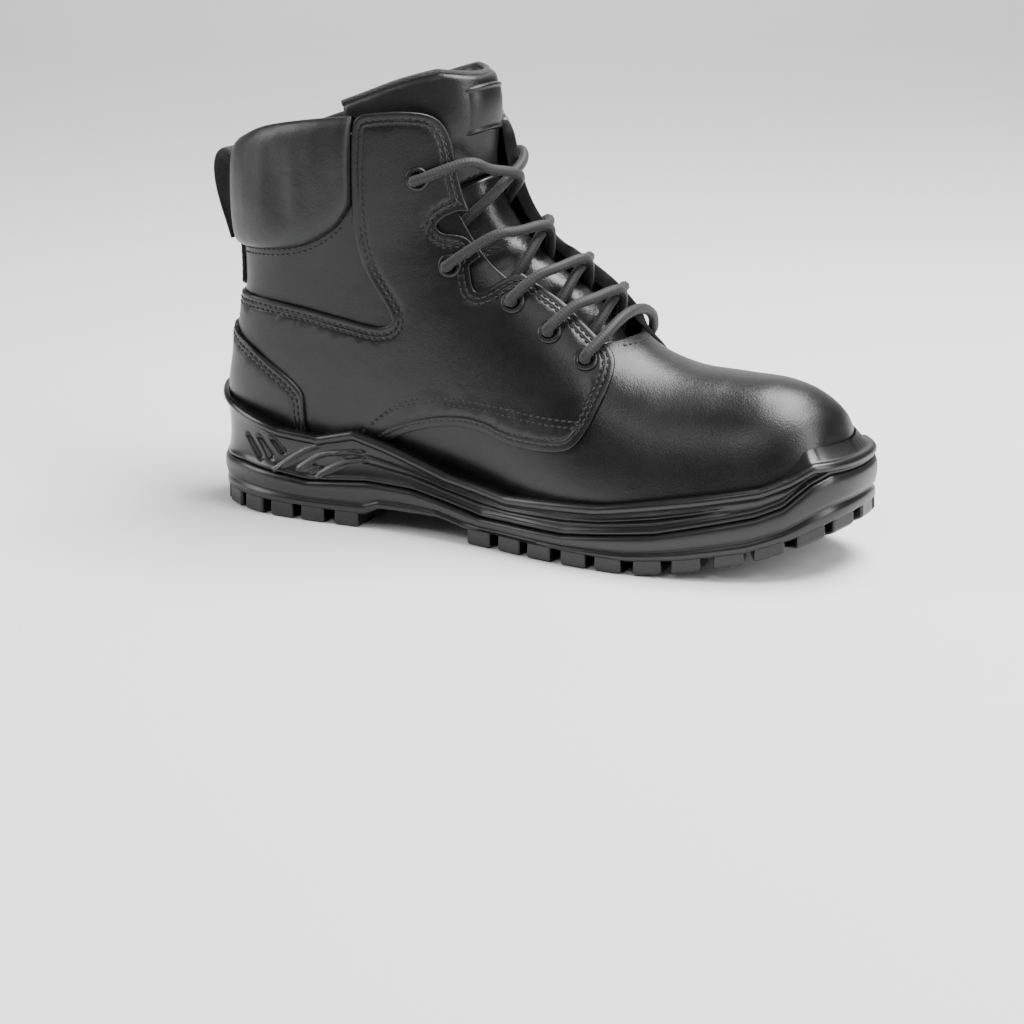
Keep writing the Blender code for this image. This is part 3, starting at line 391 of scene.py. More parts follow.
def panel(name, loops, face, thick, material, rows=(), relief=None, spacing=2.0, edge=0.75,
          body="boot", replaces=()):
    """A cut panel lying on the skin, with rounded edges and sunk stitch rows.

    loops are closed (u, a) outlines, the first the outside and the rest holes; rows are
    distances of stitch rows from the edges; relief(points, distance) adds height.
    """
    rings = [closed_loop(loop, face, 1.0, n > 0) for n, loop in enumerate(loops)]
    dense = [closed_loop(loop, face, 0.4, n > 0) for n, loop in enumerate(loops)]
    edge_points = np.vstack([skin(r[:, 0], r[:, 1], face) for r in dense])
    tree = kd_tree(edge_points)
    steps = [0.2, 0.5, 1.0] + [r + d for r in rows for d in (-0.8, -0.4, 0.0, 0.4, 0.8)]
    outline_tree = kd_tree(skin(dense[0][:, 0], dense[0][:, 1], face))
    where = list(rings)
    gap = [np.zeros(len(r)) for r in rings]
    for d in sorted(set(s for s in steps if s > 0.1)):
        for ring in rings:
            moved = stepped(ring, True, d, face)
            spots = skin(moved[:, 0], moved[:, 1], face)
            near = distances(spots, tree)
            keep = near > d * 0.96 - 0.06
            where.append(moved[keep])
            gap.append(near[keep])
    flat_loops = [r * PLANE for r in rings]
    low, high = flat_loops[0].min(axis=0), flat_loops[0].max(axis=0)
    grid = []
    level = 0
    y = low[1]
    while y < high[1]:
        xs = np.arange(low[0] + (spacing / 2 if level % 2 else 0), high[0], spacing)
        grid.append(np.column_stack([xs, np.full(len(xs), y)]))
        y += spacing * 0.87
        level += 1
    grid = np.vstack(grid)
    grid = grid[inside(grid, flat_loops)] / PLANE
    near = distances(skin(grid[:, 0], grid[:, 1], face), tree)
    clear = near > (max(steps) + 0.7)
    where.append(grid[clear])
    gap.append(near[clear])
    where = np.vstack(where)
    gap = np.concatenate(gap)
    edges = []
    start = 0
    for ring in rings:
        n = len(ring)
        edges += [(start + i, start + (i + 1) % n) for i in range(n)]
        start += n
    flat = where * PLANE
    verts, _, faces, origin, _, _ = delaunay_2d_cdt([Vector(p) for p in flat], edges, [], 0, 1e-6)
    flat = np.array([tuple(v) for v in verts])
    gap = np.array([gap[ids[0]] if ids else 0.0 for ids in origin])
    tris = np.array([tuple(f) for f in faces])
    middle = flat[tris].mean(axis=1)
    tris = tris[inside(middle, flat_loops)]
    where = flat / PLANE
    drop = np.clip(edge - gap, 0, edge)
    depth = face - (edge - np.sqrt(np.maximum(edge ** 2 - drop ** 2, 0)))
    from_edge = distances(skin(where[:, 0], where[:, 1], face), outline_tree) if rows else gap
    for r in rows:
        depth = depth - 0.3 * bell(from_edge, r, 0.6) + 0.08 * bell(from_edge, r + 1.2, 0.6)
    if relief is not None:
        depth = depth + relief(skin(where[:, 0], where[:, 1], face), gap)
    points = skin(where[:, 0], where[:, 1], depth)
    rim = [i for i, ids in enumerate(origin) if ids and min(ids) < start]
    at = {min(origin[i]): i for i in rim}
    walls = []
    extra = []
    base = 0
    for ring in rings:
        n = len(ring)
        low_edge = skin(ring[:, 0], ring[:, 1], face - thick)
        first = len(points) + len(extra)
        extra += list(low_edge)
        for i in range(n):
            k = (i + 1) % n
            if base + i in at and base + k in at:
                walls.append((at[base + i], first + i, first + k, at[base + k]))
        base += n
    points = np.vstack([points, np.array(extra)])
    faces = [tuple(t) for t in tris] + walls
    obj = piece(name, points, faces, material, body, replaces)
    turn_out(obj, where, tris)
    return obj


def turn_out(obj, where, tris):
    """Point the faces away from the foot."""
    a, b, c = (skin(where[tris[0]][:, 0], where[tris[0]][:, 1], 0.0))[:3]
    normal = np.cross(b - a, c - a)
    if np.dot(normal, axes_at(where[tris[0][:1]])[3][0]) < 0:
        obj.data.flip_normals()


def inflated(obj, pinned, pressure, cap):
    """Fill a padded piece by a short cloth simulation, held along its seams.

    The movement is evened out over neighbouring points, then capped in millimetres.
    """
    mesh = obj.data
    rest = np.array([v.co[:] for v in mesh.vertices])
    seams = obj.vertex_groups.new(name="seams")
    seams.add([int(i) for i in pinned], 1.0, "REPLACE")
    cloth = obj.modifiers.new("cloth", "CLOTH")
    cloth.settings.quality = 6
    cloth.settings.mass = 0.25
    cloth.settings.tension_stiffness = 12.0
    cloth.settings.compression_stiffness = 12.0
    cloth.settings.bending_stiffness = 4.0
    cloth.settings.use_pressure = True
    cloth.settings.uniform_pressure_force = pressure
    cloth.settings.vertex_group_mass = "seams"
    cloth.settings.effector_weights.gravity = 0.0
    cloth.collision_settings.use_collision = False
    scene = bpy.context.scene
    for number in range(1, CLOTH_FRAMES + 1):
        scene.frame_set(number)
    shaped = obj.evaluated_get(bpy.context.evaluated_depsgraph_get()).to_mesh()
    moved = np.array([v.co[:] for v in shaped.vertices]) - rest
    pairs = np.array([e.vertices[:] for e in mesh.edges])
    share = np.bincount(pairs.ravel(), minlength=len(rest))[:, None]
    for _ in range(SMOOTHING_PASSES):
        total = np.zeros_like(moved)
        np.add.at(total, pairs[:, 0], moved[pairs[:, 1]])
        np.add.at(total, pairs[:, 1], moved[pairs[:, 0]])
        moved = moved * 0.4 + 0.6 * total / np.maximum(share, 1)
        moved[pinned] = 0.0
    size = np.linalg.norm(moved, axis=1, keepdims=True)
    moved *= np.minimum(1.0, cap * MM / np.maximum(size, 1e-9))
    obj.modifiers.remove(cloth)
    obj.vertex_groups.remove(seams)
    scene.frame_set(1)
    mesh.vertices.foreach_set("co", (rest + moved).ravel())
    mesh.update()


# ==== stitches ==========================================================================
class Seams:
    """Collects thread stitches and makes them one piece."""

    def __init__(self):
        self.points = []
        self.faces = []

    def stitch(self, start, end, normal):
        along = unit(end - start)
        across = np.cross(normal, along)
        rings = ((0.0, 0.35, -0.35), (0.12, 0.8, -0.05), (0.5, 1.0, 0.12), (0.88, 0.8, -0.05),
                 (1.0, 0.35, -0.35))
        first = len(self.points)
        for f, size, lift in rings:
            middle = start + (end - start) * f + normal * lift * MM
            for k in range(6):
                angle = k * PI / 3
                out = across * math.cos(angle) + normal * math.sin(angle)
                self.points.append(middle + out * THREAD * size * MM)
        for i in range(4):
            for k in range(6):
                n = (k + 1) % 6
                self.faces.append((first + i * 6 + k, first + i * 6 + n,
                                   first + i * 6 + 6 + n, first + i * 6 + 6 + k))
        self.faces.append(tuple(first + k for k in range(5, -1, -1)))
        self.faces.append(tuple(first + 24 + k for k in range(6)))

    def line(self, spots, normals, keep=None):
        """Stitches along 3-D points; keep marks the ones where the row shows."""
        along = lengths(spots) / MM
        table = np.column_stack([spots, normals])
        total = along[-1]
        pitch = STITCH + STITCH_GAP
        count = int(total / pitch)
        for n in range(count):
            ends = [np.array([np.interp(s, along, table[:, i]) for i in range(6)])
                    for s in (n * pitch, n * pitch + STITCH)]
            if keep is not None and np.interp(n * pitch + STITCH / 2, along, keep) < 0.5:
                continue
            self.stitch(ends[0][:3], ends[1][:3], unit(ends[0][3:] + ends[1][3:]))

    def on_skin(self, where, depth, keep=None):
        spots, _, _, normals = axes_at(where, depth)
        self.line(spots, normals, keep)

    def edge_row(self, loop, face, distance, hole=False, show=None, sunk=0.12):
        """A stitch row at a distance inside a closed outline."""
        ring = closed_loop(loop, face, 0.8, hole)
        dense = closed_loop(loop, face, 0.4, hole)
        tree = kd_tree(skin(dense[:, 0], dense[:, 1], face))
        moved = stepped(ring, True, distance, face)
        moved = np.vstack([moved, moved[:1]])
        spots, _, _, normals = axes_at(moved, face - sunk)
        near = distances(skin(moved[:, 0], moved[:, 1], face), tree)
        keep = (near > distance * 0.95).astype(float)
        if show is not None:
            keep *= show(spots / MM)
        self.line(spots, normals, keep)

    def build(self, name, material, body="boot"):
        return piece(name, self.points, self.faces, material, body)


# ==== materials ==========================================================================
class Shade:
    """A small helper for a procedural material in object space."""

    def __init__(self, name, roughness=0.5, metallic=0.0, specular=0.5):
        self.material = bpy.data.materials.new(name)
        self.material.use_nodes = True
        self.tree = self.material.node_tree
        self.shader = self.tree.nodes["Principled BSDF"]
        self.shader.inputs["Roughness"].default_value = roughness
        self.shader.inputs["Metallic"].default_value = metallic
        self.shader.inputs["Specular IOR Level"].default_value = specular
        self.place = self.new("ShaderNodeTexCoord").outputs["Object"]
        self.bumped = None

    def new(self, kind, **values):
        made = self.tree.nodes.new(kind)
        for key, value in values.items():
            setattr(made, key, value)
        return made

    def link(self, a, b):
        self.tree.links.new(a, b)

    def noise(self, scale, detail=3.0, rough=0.5, stretch=None):
        made = self.new("ShaderNodeTexNoise")
        made.inputs["Scale"].default_value = scale
        made.inputs["Detail"].default_value = detail
        made.inputs["Roughness"].default_value = rough
        self.link(self.stretched(stretch), made.inputs["Vector"])
        return made.outputs["Fac"]

    def stretched(self, stretch):
        if stretch is None:
            return self.place
        mapping = self.new("ShaderNodeMapping")
        mapping.inputs["Scale"].default_value = stretch
        self.link(self.place, mapping.inputs["Vector"])
        return mapping.outputs["Vector"]

    def cells(self, scale, feature="F1", randomness=1.0, stretch=None):
        made = self.new("ShaderNodeTexVoronoi", feature=feature)
        made.inputs["Scale"].default_value = scale
        made.inputs["Randomness"].default_value = randomness
        self.link(self.stretched(stretch), made.inputs["Vector"])
        return made.outputs["Distance"]

    def waves(self, scale, direction="X", distortion=0.0):
        made = self.new("ShaderNodeTexWave", bands_direction=direction)
        made.inputs["Scale"].default_value = scale
        made.inputs["Distortion"].default_value = distortion
        self.link(self.place, made.inputs["Vector"])
        return made.outputs["Fac"]

    def ramp(self, value, low, high, start=0.0, end=1.0):
        made = self.new("ShaderNodeMapRange")
        made.inputs["From Min"].default_value = low
        made.inputs["From Max"].default_value = high
        made.inputs["To Min"].default_value = start
        made.inputs["To Max"].default_value = end
        self.link(value, made.inputs["Value"])
        return made.outputs["Result"]

    def math(self, operation, a, b):
        made = self.new("ShaderNodeMath", operation=operation)
        for socket, value in zip(made.inputs, (a, b)):
            if isinstance(value, (int, float)):
                socket.default_value = value
            else:
                self.link(value, socket)
        return made.outputs[0]

    def colour(self, factor, dark, light):
        made = self.new("ShaderNodeMix", data_type="RGBA")
        made.inputs[6].default_value = (*dark, 1.0)
        made.inputs[7].default_value = (*light, 1.0)
        self.link(factor, made.inputs[0])
        self.link(made.outputs[2], self.shader.inputs["Base Color"])

    def roughness(self, value):
        self.link(value, self.shader.inputs["Roughness"])

    def bump(self, value, strength, distance):
        made = self.new("ShaderNodeBump")
        made.inputs["Strength"].default_value = strength
        made.inputs["Distance"].default_value = distance
        self.link(value, made.inputs["Height"])
        if self.bumped is not None:
            self.link(self.bumped, made.inputs["Normal"])
        self.bumped = made.outputs["Normal"]
        self.link(self.bumped, self.shader.inputs["Normal"])

    def sheen(self, weight, roughness, tint):
        self.shader.inputs["Sheen Weight"].default_value = weight
        self.shader.inputs["Sheen Roughness"].default_value = roughness
        self.shader.inputs["Sheen Tint"].default_value = (*tint, 1.0)


def leather(name, grain=0.14, crease=0.1, rough=(0.3, 0.42), tone=0.0035):
    s = Shade(name, specular=0.42)
    broad = s.noise(22.0, 4.0)
    pores = s.cells(1150.0)
    folds = s.noise(95.0, 5.0, 0.62, (1.0, 1.0, 1.6))
    fine = s.noise(2600.0, 2.0)
    s.bump(s.ramp(folds, 0.3, 0.7), crease, 0.0006)
    s.bump(s.ramp(pores, 0.05, 0.75), grain, 0.00022)
    s.bump(fine, grain * 0.5, 0.00008)
    s.colour(s.ramp(broad, 0.3, 0.7), (tone, tone, tone * 1.05), (tone * 2, tone * 2, tone * 2.1))
    s.roughness(s.ramp(s.math("ADD", s.math("MULTIPLY", broad, 0.6),
                              s.math("MULTIPLY", folds, 0.4)), 0.35, 0.65, *rough))
    return s.material


def moulded(name, tone, rough, speckle=0.1):
    s = Shade(name)
    broad = s.noise(30.0, 3.0)
    fine = s.noise(1500.0, 3.0, 0.6)
    s.bump(fine, speckle, 0.0002)
    s.bump(s.noise(140.0, 3.0), 0.08, 0.0005)
    s.colour(s.ramp(broad, 0.3, 0.7), (tone,) * 3, (tone * 1.7,) * 3)
    s.roughness(s.ramp(broad, 0.3, 0.7, *rough))
    return s.material


def spacer_mesh(name):
    """Knitted lining with rows of small holes, painted dark inside the holes as painted shade."""
    s = Shade(name, roughness=0.85)
    holes = s.cells(520.0, "F1", 0.12, (1.0, 0.8, 1.0))
    edge = s.ramp(holes, 0.22, 0.4)
    s.bump(edge, 0.9, 0.0007)
    s.bump(s.noise(2400.0, 2.0), 0.3, 0.0002)
    # painted shade: the holes are coloured near-black and the knit between them grey
    s.colour(edge, (0.008, 0.008, 0.009), (0.085, 0.085, 0.09))
    s.sheen(0.3, 0.5, (0.5, 0.5, 0.52))
    return s.material


def woven(name, tone, scale, rough=0.8):
    s = Shade(name, roughness=rough)
    weave = s.math("MULTIPLY", s.waves(scale, "Y"), s.waves(scale, "Z"))
    s.bump(weave, 0.8, 0.0004)
    s.bump(s.noise(3000.0, 2.0), 0.3, 0.0001)
    s.colour(s.ramp(s.noise(400.0, 3.0), 0.3, 0.7), (tone,) * 3, (tone * 1.8,) * 3)
    s.sheen(0.25, 0.5, (0.5, 0.5, 0.5))
    return s.material


def yarn(name, tone, rough, scale):
    s = Shade(name, roughness=rough)
    strands = s.noise(scale, 3.0, 0.6)
    s.bump(strands, 0.5, 0.00015)
    s.colour(s.ramp(strands, 0.3, 0.75), (tone * 0.6,) * 3, (tone * 1.7,) * 3)
    s.sheen(0.2, 0.5, (0.6, 0.6, 0.6))
    return s.material


def metal(name, colour, rough, metallic=1.0):
    s = Shade(name, metallic=metallic)
    grain = s.noise(700.0, 4.0, 0.6, (1.0, 0.1, 1.0))
    s.bump(grain, 0.06, 0.0001)
    s.colour(s.ramp(grain, 0.3, 0.7), tuple(c * 0.85 for c in colour), colour)
    s.roughness(s.ramp(grain, 0.3, 0.7, rough * 0.85, rough * 1.2))
    return s.material


LEATHER = leather("smooth_black_leather")
LEATHER_TONGUE = leather("tongue_leather", 0.16, 0.3, (0.24, 0.34), 0.0045)
LEATHER_SOFT = leather("collar_leather", 0.18, 0.2, (0.34, 0.46), 0.004)
RUBBER = moulded("sole_rubber", 0.004, (0.28, 0.4))
POLYURETHANE = moulded("midsole_polyurethane", 0.004, (0.26, 0.38), 0.05)
MESH_CLOTH = spacer_mesh("lining_mesh")
THREAD_CLOTH = yarn("sewing_thread", 0.0015, 0.7, 2500.0)
LACE_CLOTH = yarn("braided_cord", 0.007, 0.62, 2200.0)
WEBBING = woven("loop_webbing", 0.01, 420.0)
BINDING = woven("edge_binding", 0.02, 500.0)
ENAMEL = metal("black_enamelled_brass", (0.02, 0.02, 0.021), 0.3, 0.5)
STEEL = metal("pressed_steel", (0.5, 0.51, 0.53), 0.35)
AGLET = moulded("aglet_film", 0.015, (0.2, 0.3), 0.03)
FIBRE = yarn("fibre_board", 0.3, 0.85, 500.0)
FOOTBED = yarn("footbed_cloth", 0.035, 0.9, 1300.0)


# ==== camera, floor and light ===============================================================
def set_stage():
    camera = bpy.data.cameras.new("camera")
    camera.lens = 85.0
    camera.sensor_width = 36.0
    holder = bpy.data.objects.new("camera", camera)
    bpy.context.scene.collection.objects.link(holder)
    azimuth, tilt, roll = (math.radians(v) for v in (29.30, 15.73, -1.04))
    right = Vector((math.cos(azimuth), math.sin(azimuth), 0))
    back = Vector((math.sin(azimuth) * math.cos(tilt), -math.cos(azimuth) * math.cos(tilt),
                   math.sin(tilt)))
    up = back.cross(right)
    side = right * math.cos(roll) + up * math.sin(roll)
    top = up * math.cos(roll) - right * math.sin(roll)
    holder.matrix_world = Matrix((side, top, back)).transposed().to_4x4()
    holder.location = (0.4919, -0.8932, 0.2923)
    bpy.context.scene.camera = holder

    floor = bpy.data.meshes.new("floor")
    turn = [(2.4 + 0.8 * math.sin(i * PI / 16), 0.8 - 0.8 * math.cos(i * PI / 16))
            for i in range(9)]
    line = [(-3.0, 0.0)] + turn + [(3.2, 3.0)]
    points = [(x, y, z) for x in (-4.0, 4.0) for y, z in line]
    count = len(line)
    floor.from_pydata(points, [], [(i, i + 1, count + i + 1, count + i) for i in range(count - 1)])
    floor.shade_smooth()
    paper = Shade("pale_paper", roughness=0.8)
    paper.colour(paper.noise(8.0), (0.86, 0.86, 0.86), (0.89, 0.89, 0.89))
    floor.materials.append(paper.material)
    ground = bpy.data.objects.new("floor", floor)
    ground.rotation_euler.z = azimuth
    bpy.context.scene.collection.objects.link(ground)

    def soft_box(name, place, size, power, look=(0.0, 0.0, 0.07)):
        lamp = bpy.data.lights.new(name, "AREA")
        lamp.shape = "RECTANGLE"
        lamp.size, lamp.size_y = size
        lamp.energy = power
        obj = bpy.data.objects.new(name, lamp)
        obj.location = place
        aim = Vector(look) - Vector(place)
        obj.rotation_euler = aim.to_track_quat("-Z", "Y").to_euler()
        bpy.context.scene.collection.objects.link(obj)
    soft_box("overhead", (0.35, 0.25, 1.3), (1.2, 0.7), 52.0)
    soft_box("left", (-1.4, -0.6, 0.8), (0.6, 1.1), 16.0)
    soft_box("right", (1.35, -0.25, 0.75), (0.6, 1.1), 17.0)
    soft_box("front", (0.1, -1.5, 1.5), (0.8, 0.4), 6.5)
    soft_box("backdrop", (-0.8, 1.6, 2.0), (2.0, 1.0), 40.0, (-1.6, 3.2, 0.6))
    world = bpy.data.worlds.new("studio")
    world.use_nodes = True
    world.node_tree.nodes["Background"].inputs[0].default_value = (0.9, 0.92, 0.95, 1.0)
    world.node_tree.nodes["Background"].inputs[1].default_value = 0.12
    bpy.context.scene.world = world


# ==== lace ==================================================================================
def at_width(u, y, depth):
    """Point of the skin at section u, y millimetres sideways from its centre."""
    side = 1 if y > 0 else -1
    centre = girths(np.array([u]))[0, 7]
    low, high = 0.5 * PI, PI
    for _ in range(40):
        middle = 0.5 * (low + high)
        if abs(float(skin(u, side * middle, depth)[1]) / MM - centre) > abs(y):
            low = middle
        else:
            high = middle
    return skin(u, side * high, depth)


def lace_route():
    """The lace's points, from its tucked end at the outer side to that at the inner."""
    frames = {}
    for _, side in SIDES:
        spots, _, _, normals = axes_at(locate(EYELETS, side))
        for row in range(len(EYELETS)):
            frames[side, row] = spots[row], normals[row]
    stations = locate(EYELETS, 1)[:, 0]

    def through(side, row):
        origin, normal = frames[side, row]
        return [origin + normal * h * MM for h in (6.0, 1.0, -4.0, -7.5)]

    def crossing(side, row, lift):
        low, high = stations[row], stations[row - 1]
        u = [low + (high - low) * f for f in (0.12, 0.24, 0.34, 0.5, 0.7, 0.9)]
        return [at_width(u[0], side * 24, -7.7), at_width(u[1], side * 17.5, -7.0),
                at_width(u[2], side * 10, -1.4), at_width(u[3], 0.3 * side, lift),
                at_width(u[4], -side * 14, 6.6), at_width(u[5], -side * 23, 6.8)]

    def half(side):
        points = []
        for row in range(4, 0, -1):
            points += through(side, row) + crossing(side, row, 3.4 if side < 0 else 8.2)
            side = -side
        points += through(side, 0)
        points += list(skin(*locate(TUCKED_END, side).T, -8.0))
        return points
    bar = [at_width(stations[4], y, 6.8) for y in (-22, -11, -0.3, 11, 22)]
    return np.array(list(reversed(half(-1))) + bar + half(1))


def tube(path, radius, sides, pattern=None):
    """Points and faces of a tube; pattern(angle, length) scales its radius."""
    ahead = unit(np.gradient(path, axis=0))
    side = np.cross(ahead[0], (0.0, 0.0, 1.0))
    across = [unit(side)]
    for n in range(1, len(path)):
        s = across[-1] - ahead[n] * np.dot(across[-1], ahead[n])
        across.append(unit(s))
    across = np.array(across)
    over = np.cross(ahead, across)
    along = lengths(path) / MM
    angle = np.arange(sides) * 2 * PI / sides
    size = np.full((len(path), sides), 1.0)
    if pattern is not None:
        size = pattern(angle[None, :], along[:, None])
    ring = (across[:, None, :] * np.cos(angle)[None, :, None]
            + over[:, None, :] * np.sin(angle)[None, :, None])
    points = path[:, None, :] + ring * (radius * size)[:, :, None]
    count = len(path)
    faces = grid_faces(count, sides, True)
    faces.append(tuple(range(sides - 1, -1, -1)))
    faces.append(tuple((count - 1) * sides + k for k in range(sides)))
    return points.reshape(-1, 3), faces


def build_lace():
    route = spline(lace_route(), 12)
    route = respaced(route, lengths(route) / MM, BRAID_STEP)

    def braid(angle, along):
        weave = np.sin(4 * angle + along * 2.3) * np.sin(4 * angle - along * 2.3)
        return 1.0 + 0.075 * np.sign(weave) * np.sqrt(np.abs(weave))
    points, faces = tube(route, LACE_RADIUS * MM, 24, braid)
    piece("braided_lace", points, faces, LACE_CLOTH, replaces=("lace",))


# ==== upper ===================================================================================
def creases(points, distance):
    """Shallow waves where the leather flexes at the ball and the ankle."""
    x, z = points[:, 0] / MM, points[:, 2] / MM
    flex = bell(x, 58, 26) * bell(z, 66, 30)
    ankle = bell(x, -62, 40) * bell(z, 92, 26)
    swell = 0.2 * wander(points, 42.0) + 0.1 * wander(points, 110.0, 2.0)
    fade = np.clip(distance / 6.0, 0, 1)
    return fade * swell * (0.5 + 1.6 * flex + 1.4 * ankle)


def build_vamp(seams):
    """Toe and sides: a grid that runs back to a line hidden under the quarters."""
    limit = rows_of(((0.0, 8.6), (0.34, 8.55), (0.42, 7.6), (0.5, 6.7), (0.7, 6.5),
                     (0.88, 6.38), (0.96, 6.12), (0.99, 5.98), (1.0, 5.94)))
    columns = 241
    sweep = np.linspace(0.62, 2 * PI - 0.62, columns)
    fraction = np.sin(sweep / 2) ** 2
    end = np.interp(fraction, limit[:, 0], limit[:, 1])
    rows = 170
    s = np.linspace(0, 1, rows) ** 1.15
    u = s[:, None] * end[None, :]
    a = np.broadcast_to(sweep[None, :], u.shape)
    flat = skin(u, a, 0.0).reshape(-1, 3)
    flex = creases(flat, np.full(len(flat), 6.0)) * 0.5 * ease(5.2, 6.4, u.ravel())
    depth = VAMP_FACE + flex.reshape(u.shape)
    points = skin(u, a, depth).reshape(-1, 3)
    hem = skin(end, sweep, VAMP_FACE - 1.4)
    points = np.vstack([points, hem])
    faces = grid_faces(rows + 1, columns)
    obj = piece("vamp_leather", points, faces, LEATHER, replaces=("vamp",))
    obj.data.flip_normals()
    tongue_row = np.column_stack([end - 0.14, sweep])
    keep = fraction > 0.965
    seams.on_skin(tongue_row[keep], 0.0)
    return obj


def quarter_relief(side):
    strap = locate(spline(STRAP_UPPER, 8), side)
    low = kd_tree(skin(strap[:, 0], strap[:, 1], OVERLAY_FACE))

    side_lift = 1.0 if side > 0 else 0.0

    def relief(points, distance):
        near = distances(points, low)
        x = points[:, 0] / MM
        z = points[:, 2] / MM
        reach = ((x > -62) & (x < 56)).astype(float)
        under = (z < height(STRAP_UPPER, x)).astype(float)
        raised = 0.42 * under * reach * np.clip(near / 1.2, 0, 1) * ease(1.0, 3.0, distance)
        groove = -0.45 * (bell(near, 0.0, 0.6) + bell(near, STRAP_ROW_GAP, 0.6) * under) * reach
        stand = 5.0 * side_lift * (1 - ease(9.0, 17.5, points[:, 1] / MM)) * ease(84, 96, z)
        return raised + groove + stand + creases(points, distance)
    return relief


def build_quarters(seams):
    for word, side in SIDES:
        edge = QUARTER_EDGE if side < 0 else [INNER_FRONT.get(p, p) for p in QUARTER_EDGE]
        outline = one_side(edge, side)
        holes = [one_side(w, side, 1) for w in WINDOWS]
        eye = [ring_on_skin(x, z, side, 2.9) for x, z in EYELETS]
        front = clipped_windows(outline, holes)
        panel(f"quarter_{word}_leather", [front] + eye, OVERLAY_FACE, 1.5, LEATHER,
              rows=EDGE_ROWS, relief=quarter_relief(side), replaces=(f"quarter_{word}",))
        inlay = one_side(UNDERLAY_EDGE, side)
        panel(f"facing_{word}_inlay", [inlay], UNDERLAY_FACE, 1.3, LEATHER, spacing=2.4,
              replaces=(f"facing_underlay_{word}",))
        panel(f"ankle_{word}_leather", [one_side(ANKLE_EDGE, side)], VAMP_FACE, 1.4, LEATHER,
              relief=creases, replaces=(f"ankle_panel_{word}",))

        lining = panel(f"lining_{word}_mesh", [one_side(LINING_EDGE, side)], -4.8, -1.2,
                       MESH_CLOTH, spacing=3.0,
                       replaces=(f"quarter_lining_{word}",))
        lining.data.flip_normals()

        def visible(spots):
            x, z = spots[:, 0], spots[:, 2]
            sole = z > height(RIM_TOP, x) + 0.5
            back = x > -143
            collar = ~((x < -60) & (z > 128))
            return (sole & back & collar).astype(float)
        for distance in EDGE_ROWS:
            seams.edge_row(front, OVERLAY_FACE, distance, show=visible)
        for distance in (0.0, STRAP_ROW_GAP):
            line = locate(spline(STRAP_UPPER, 8), side)
            line = line if distance == 0 else lowered(line, distance, side)
            seams.on_skin(line, OVERLAY_FACE + 0.12)


def lowered(line, distance, side):
    """The same line on the skin, a distance further down towards the sole."""
    _, _, along_a, _ = axes_at(line)
    step = distance * MM / np.linalg.norm(along_a, axis=1)
    down = -np.sign(along_a[:, 2])
    return line + np.column_stack([0 * step, step * down])


def clipped_windows(outline, windows):
    """The panel's outline with its front notches cut in."""
    flat = outline * PLANE
    for window in windows:
        hole = window * PLANE
        flat = notched(flat, hole)
    return flat / PLANE


def notched(flat, hole):
    """Outline minus an overlapping notch: the outline's inside part is rerouted."""
    within = inside(flat, [hole])
    if not within.any():
        return flat
    start = int(np.argmax(within & ~np.roll(within, 1)))
    ring = np.roll(flat, -start, axis=0)
    gone = np.roll(within, -start)
    count = int(np.argmin(gone))
    kept = ring[count:]
    shown = inside(hole, [flat])
    first = int(np.argmax(shown & ~np.roll(shown, 1)))
    way = np.roll(hole, -first, axis=0)[:int(shown.sum())]
    if np.linalg.norm(way[0] - kept[-1]) > np.linalg.norm(way[-1] - kept[-1]):
        way = way[::-1]
    return np.vstack([kept, way])


def ring_on_skin(x, z, side, radius):
    """A small circle round a side-view point, as (u, a) rows."""
    centre = locate([(x, z)], side)
    _, along_u, along_a, _ = axes_at(centre)
    u_size = np.linalg.norm(along_u[0]) / MM
    a_size = np.linalg.norm(along_a[0]) / MM
    angle = np.linspace(0, 2 * PI, 33)[:-1]
    return centre + np.column_stack([np.cos(angle) * radius / u_size,
                                     np.sin(angle) * radius / a_size])


def build_counter(seams):
    outline = around_back(COUNTER_EDGE)
    panel("heel_counter_leather", [outline], PATCH_FACE, 1.5, LEATHER, rows=COUNTER_ROWS,
          relief=creases, replaces=("heel_counter_patch",))

    def visible(spots):
        return (spots[:, 2] > height(RIM_TOP, spots[:, 0]) + 0.5).astype(float)
    for distance in COUNTER_ROWS:
        seams.edge_row(outline, PATCH_FACE, distance, show=visible)
    strip = np.array([(11.02, -0.46), (11.02, 0.46), (11.62, 0.40), (11.62, -0.40)])
    line = np.vstack([np.linspace(strip[i], strip[(i + 1) % 4], 12)[:-1] for i in range(4)])
    panel("backstay_leather", [line], OVERLAY_FACE, 1.4, LEATHER, rows=(2.0,), spacing=1.8,
          replaces=("backstay",))
    for sign in (-1, 1):
        row = np.column_stack([np.linspace(11.04, 11.6, 20), np.full(20, sign * 0.36)])
        seams.on_skin(row, OVERLAY_FACE - 0.1)


def collar_edges(count):
    """Matching (u, a) rows of the collar's lower and upper edge, round the back."""
    low = locate(spline(COLLAR_LOW, 10), 1)
    high = locate(spline(COLLAR_HIGH, 10), 1)
    both = []
    for line in (low, high):
        line = line[line[:, 1] > 0.004]
        line = np.vstack([line[::-1] * (1, -1), (line[0, 0], 0.0), line])
        spots = skin(line[:, 0], line[:, 1], 3.0)
        along = lengths(spots)
        at = np.linspace(0, along[-1], count)
        both.append(np.column_stack([np.interp(at, along, line[:, i]) for i in (0, 1)]))
    return both


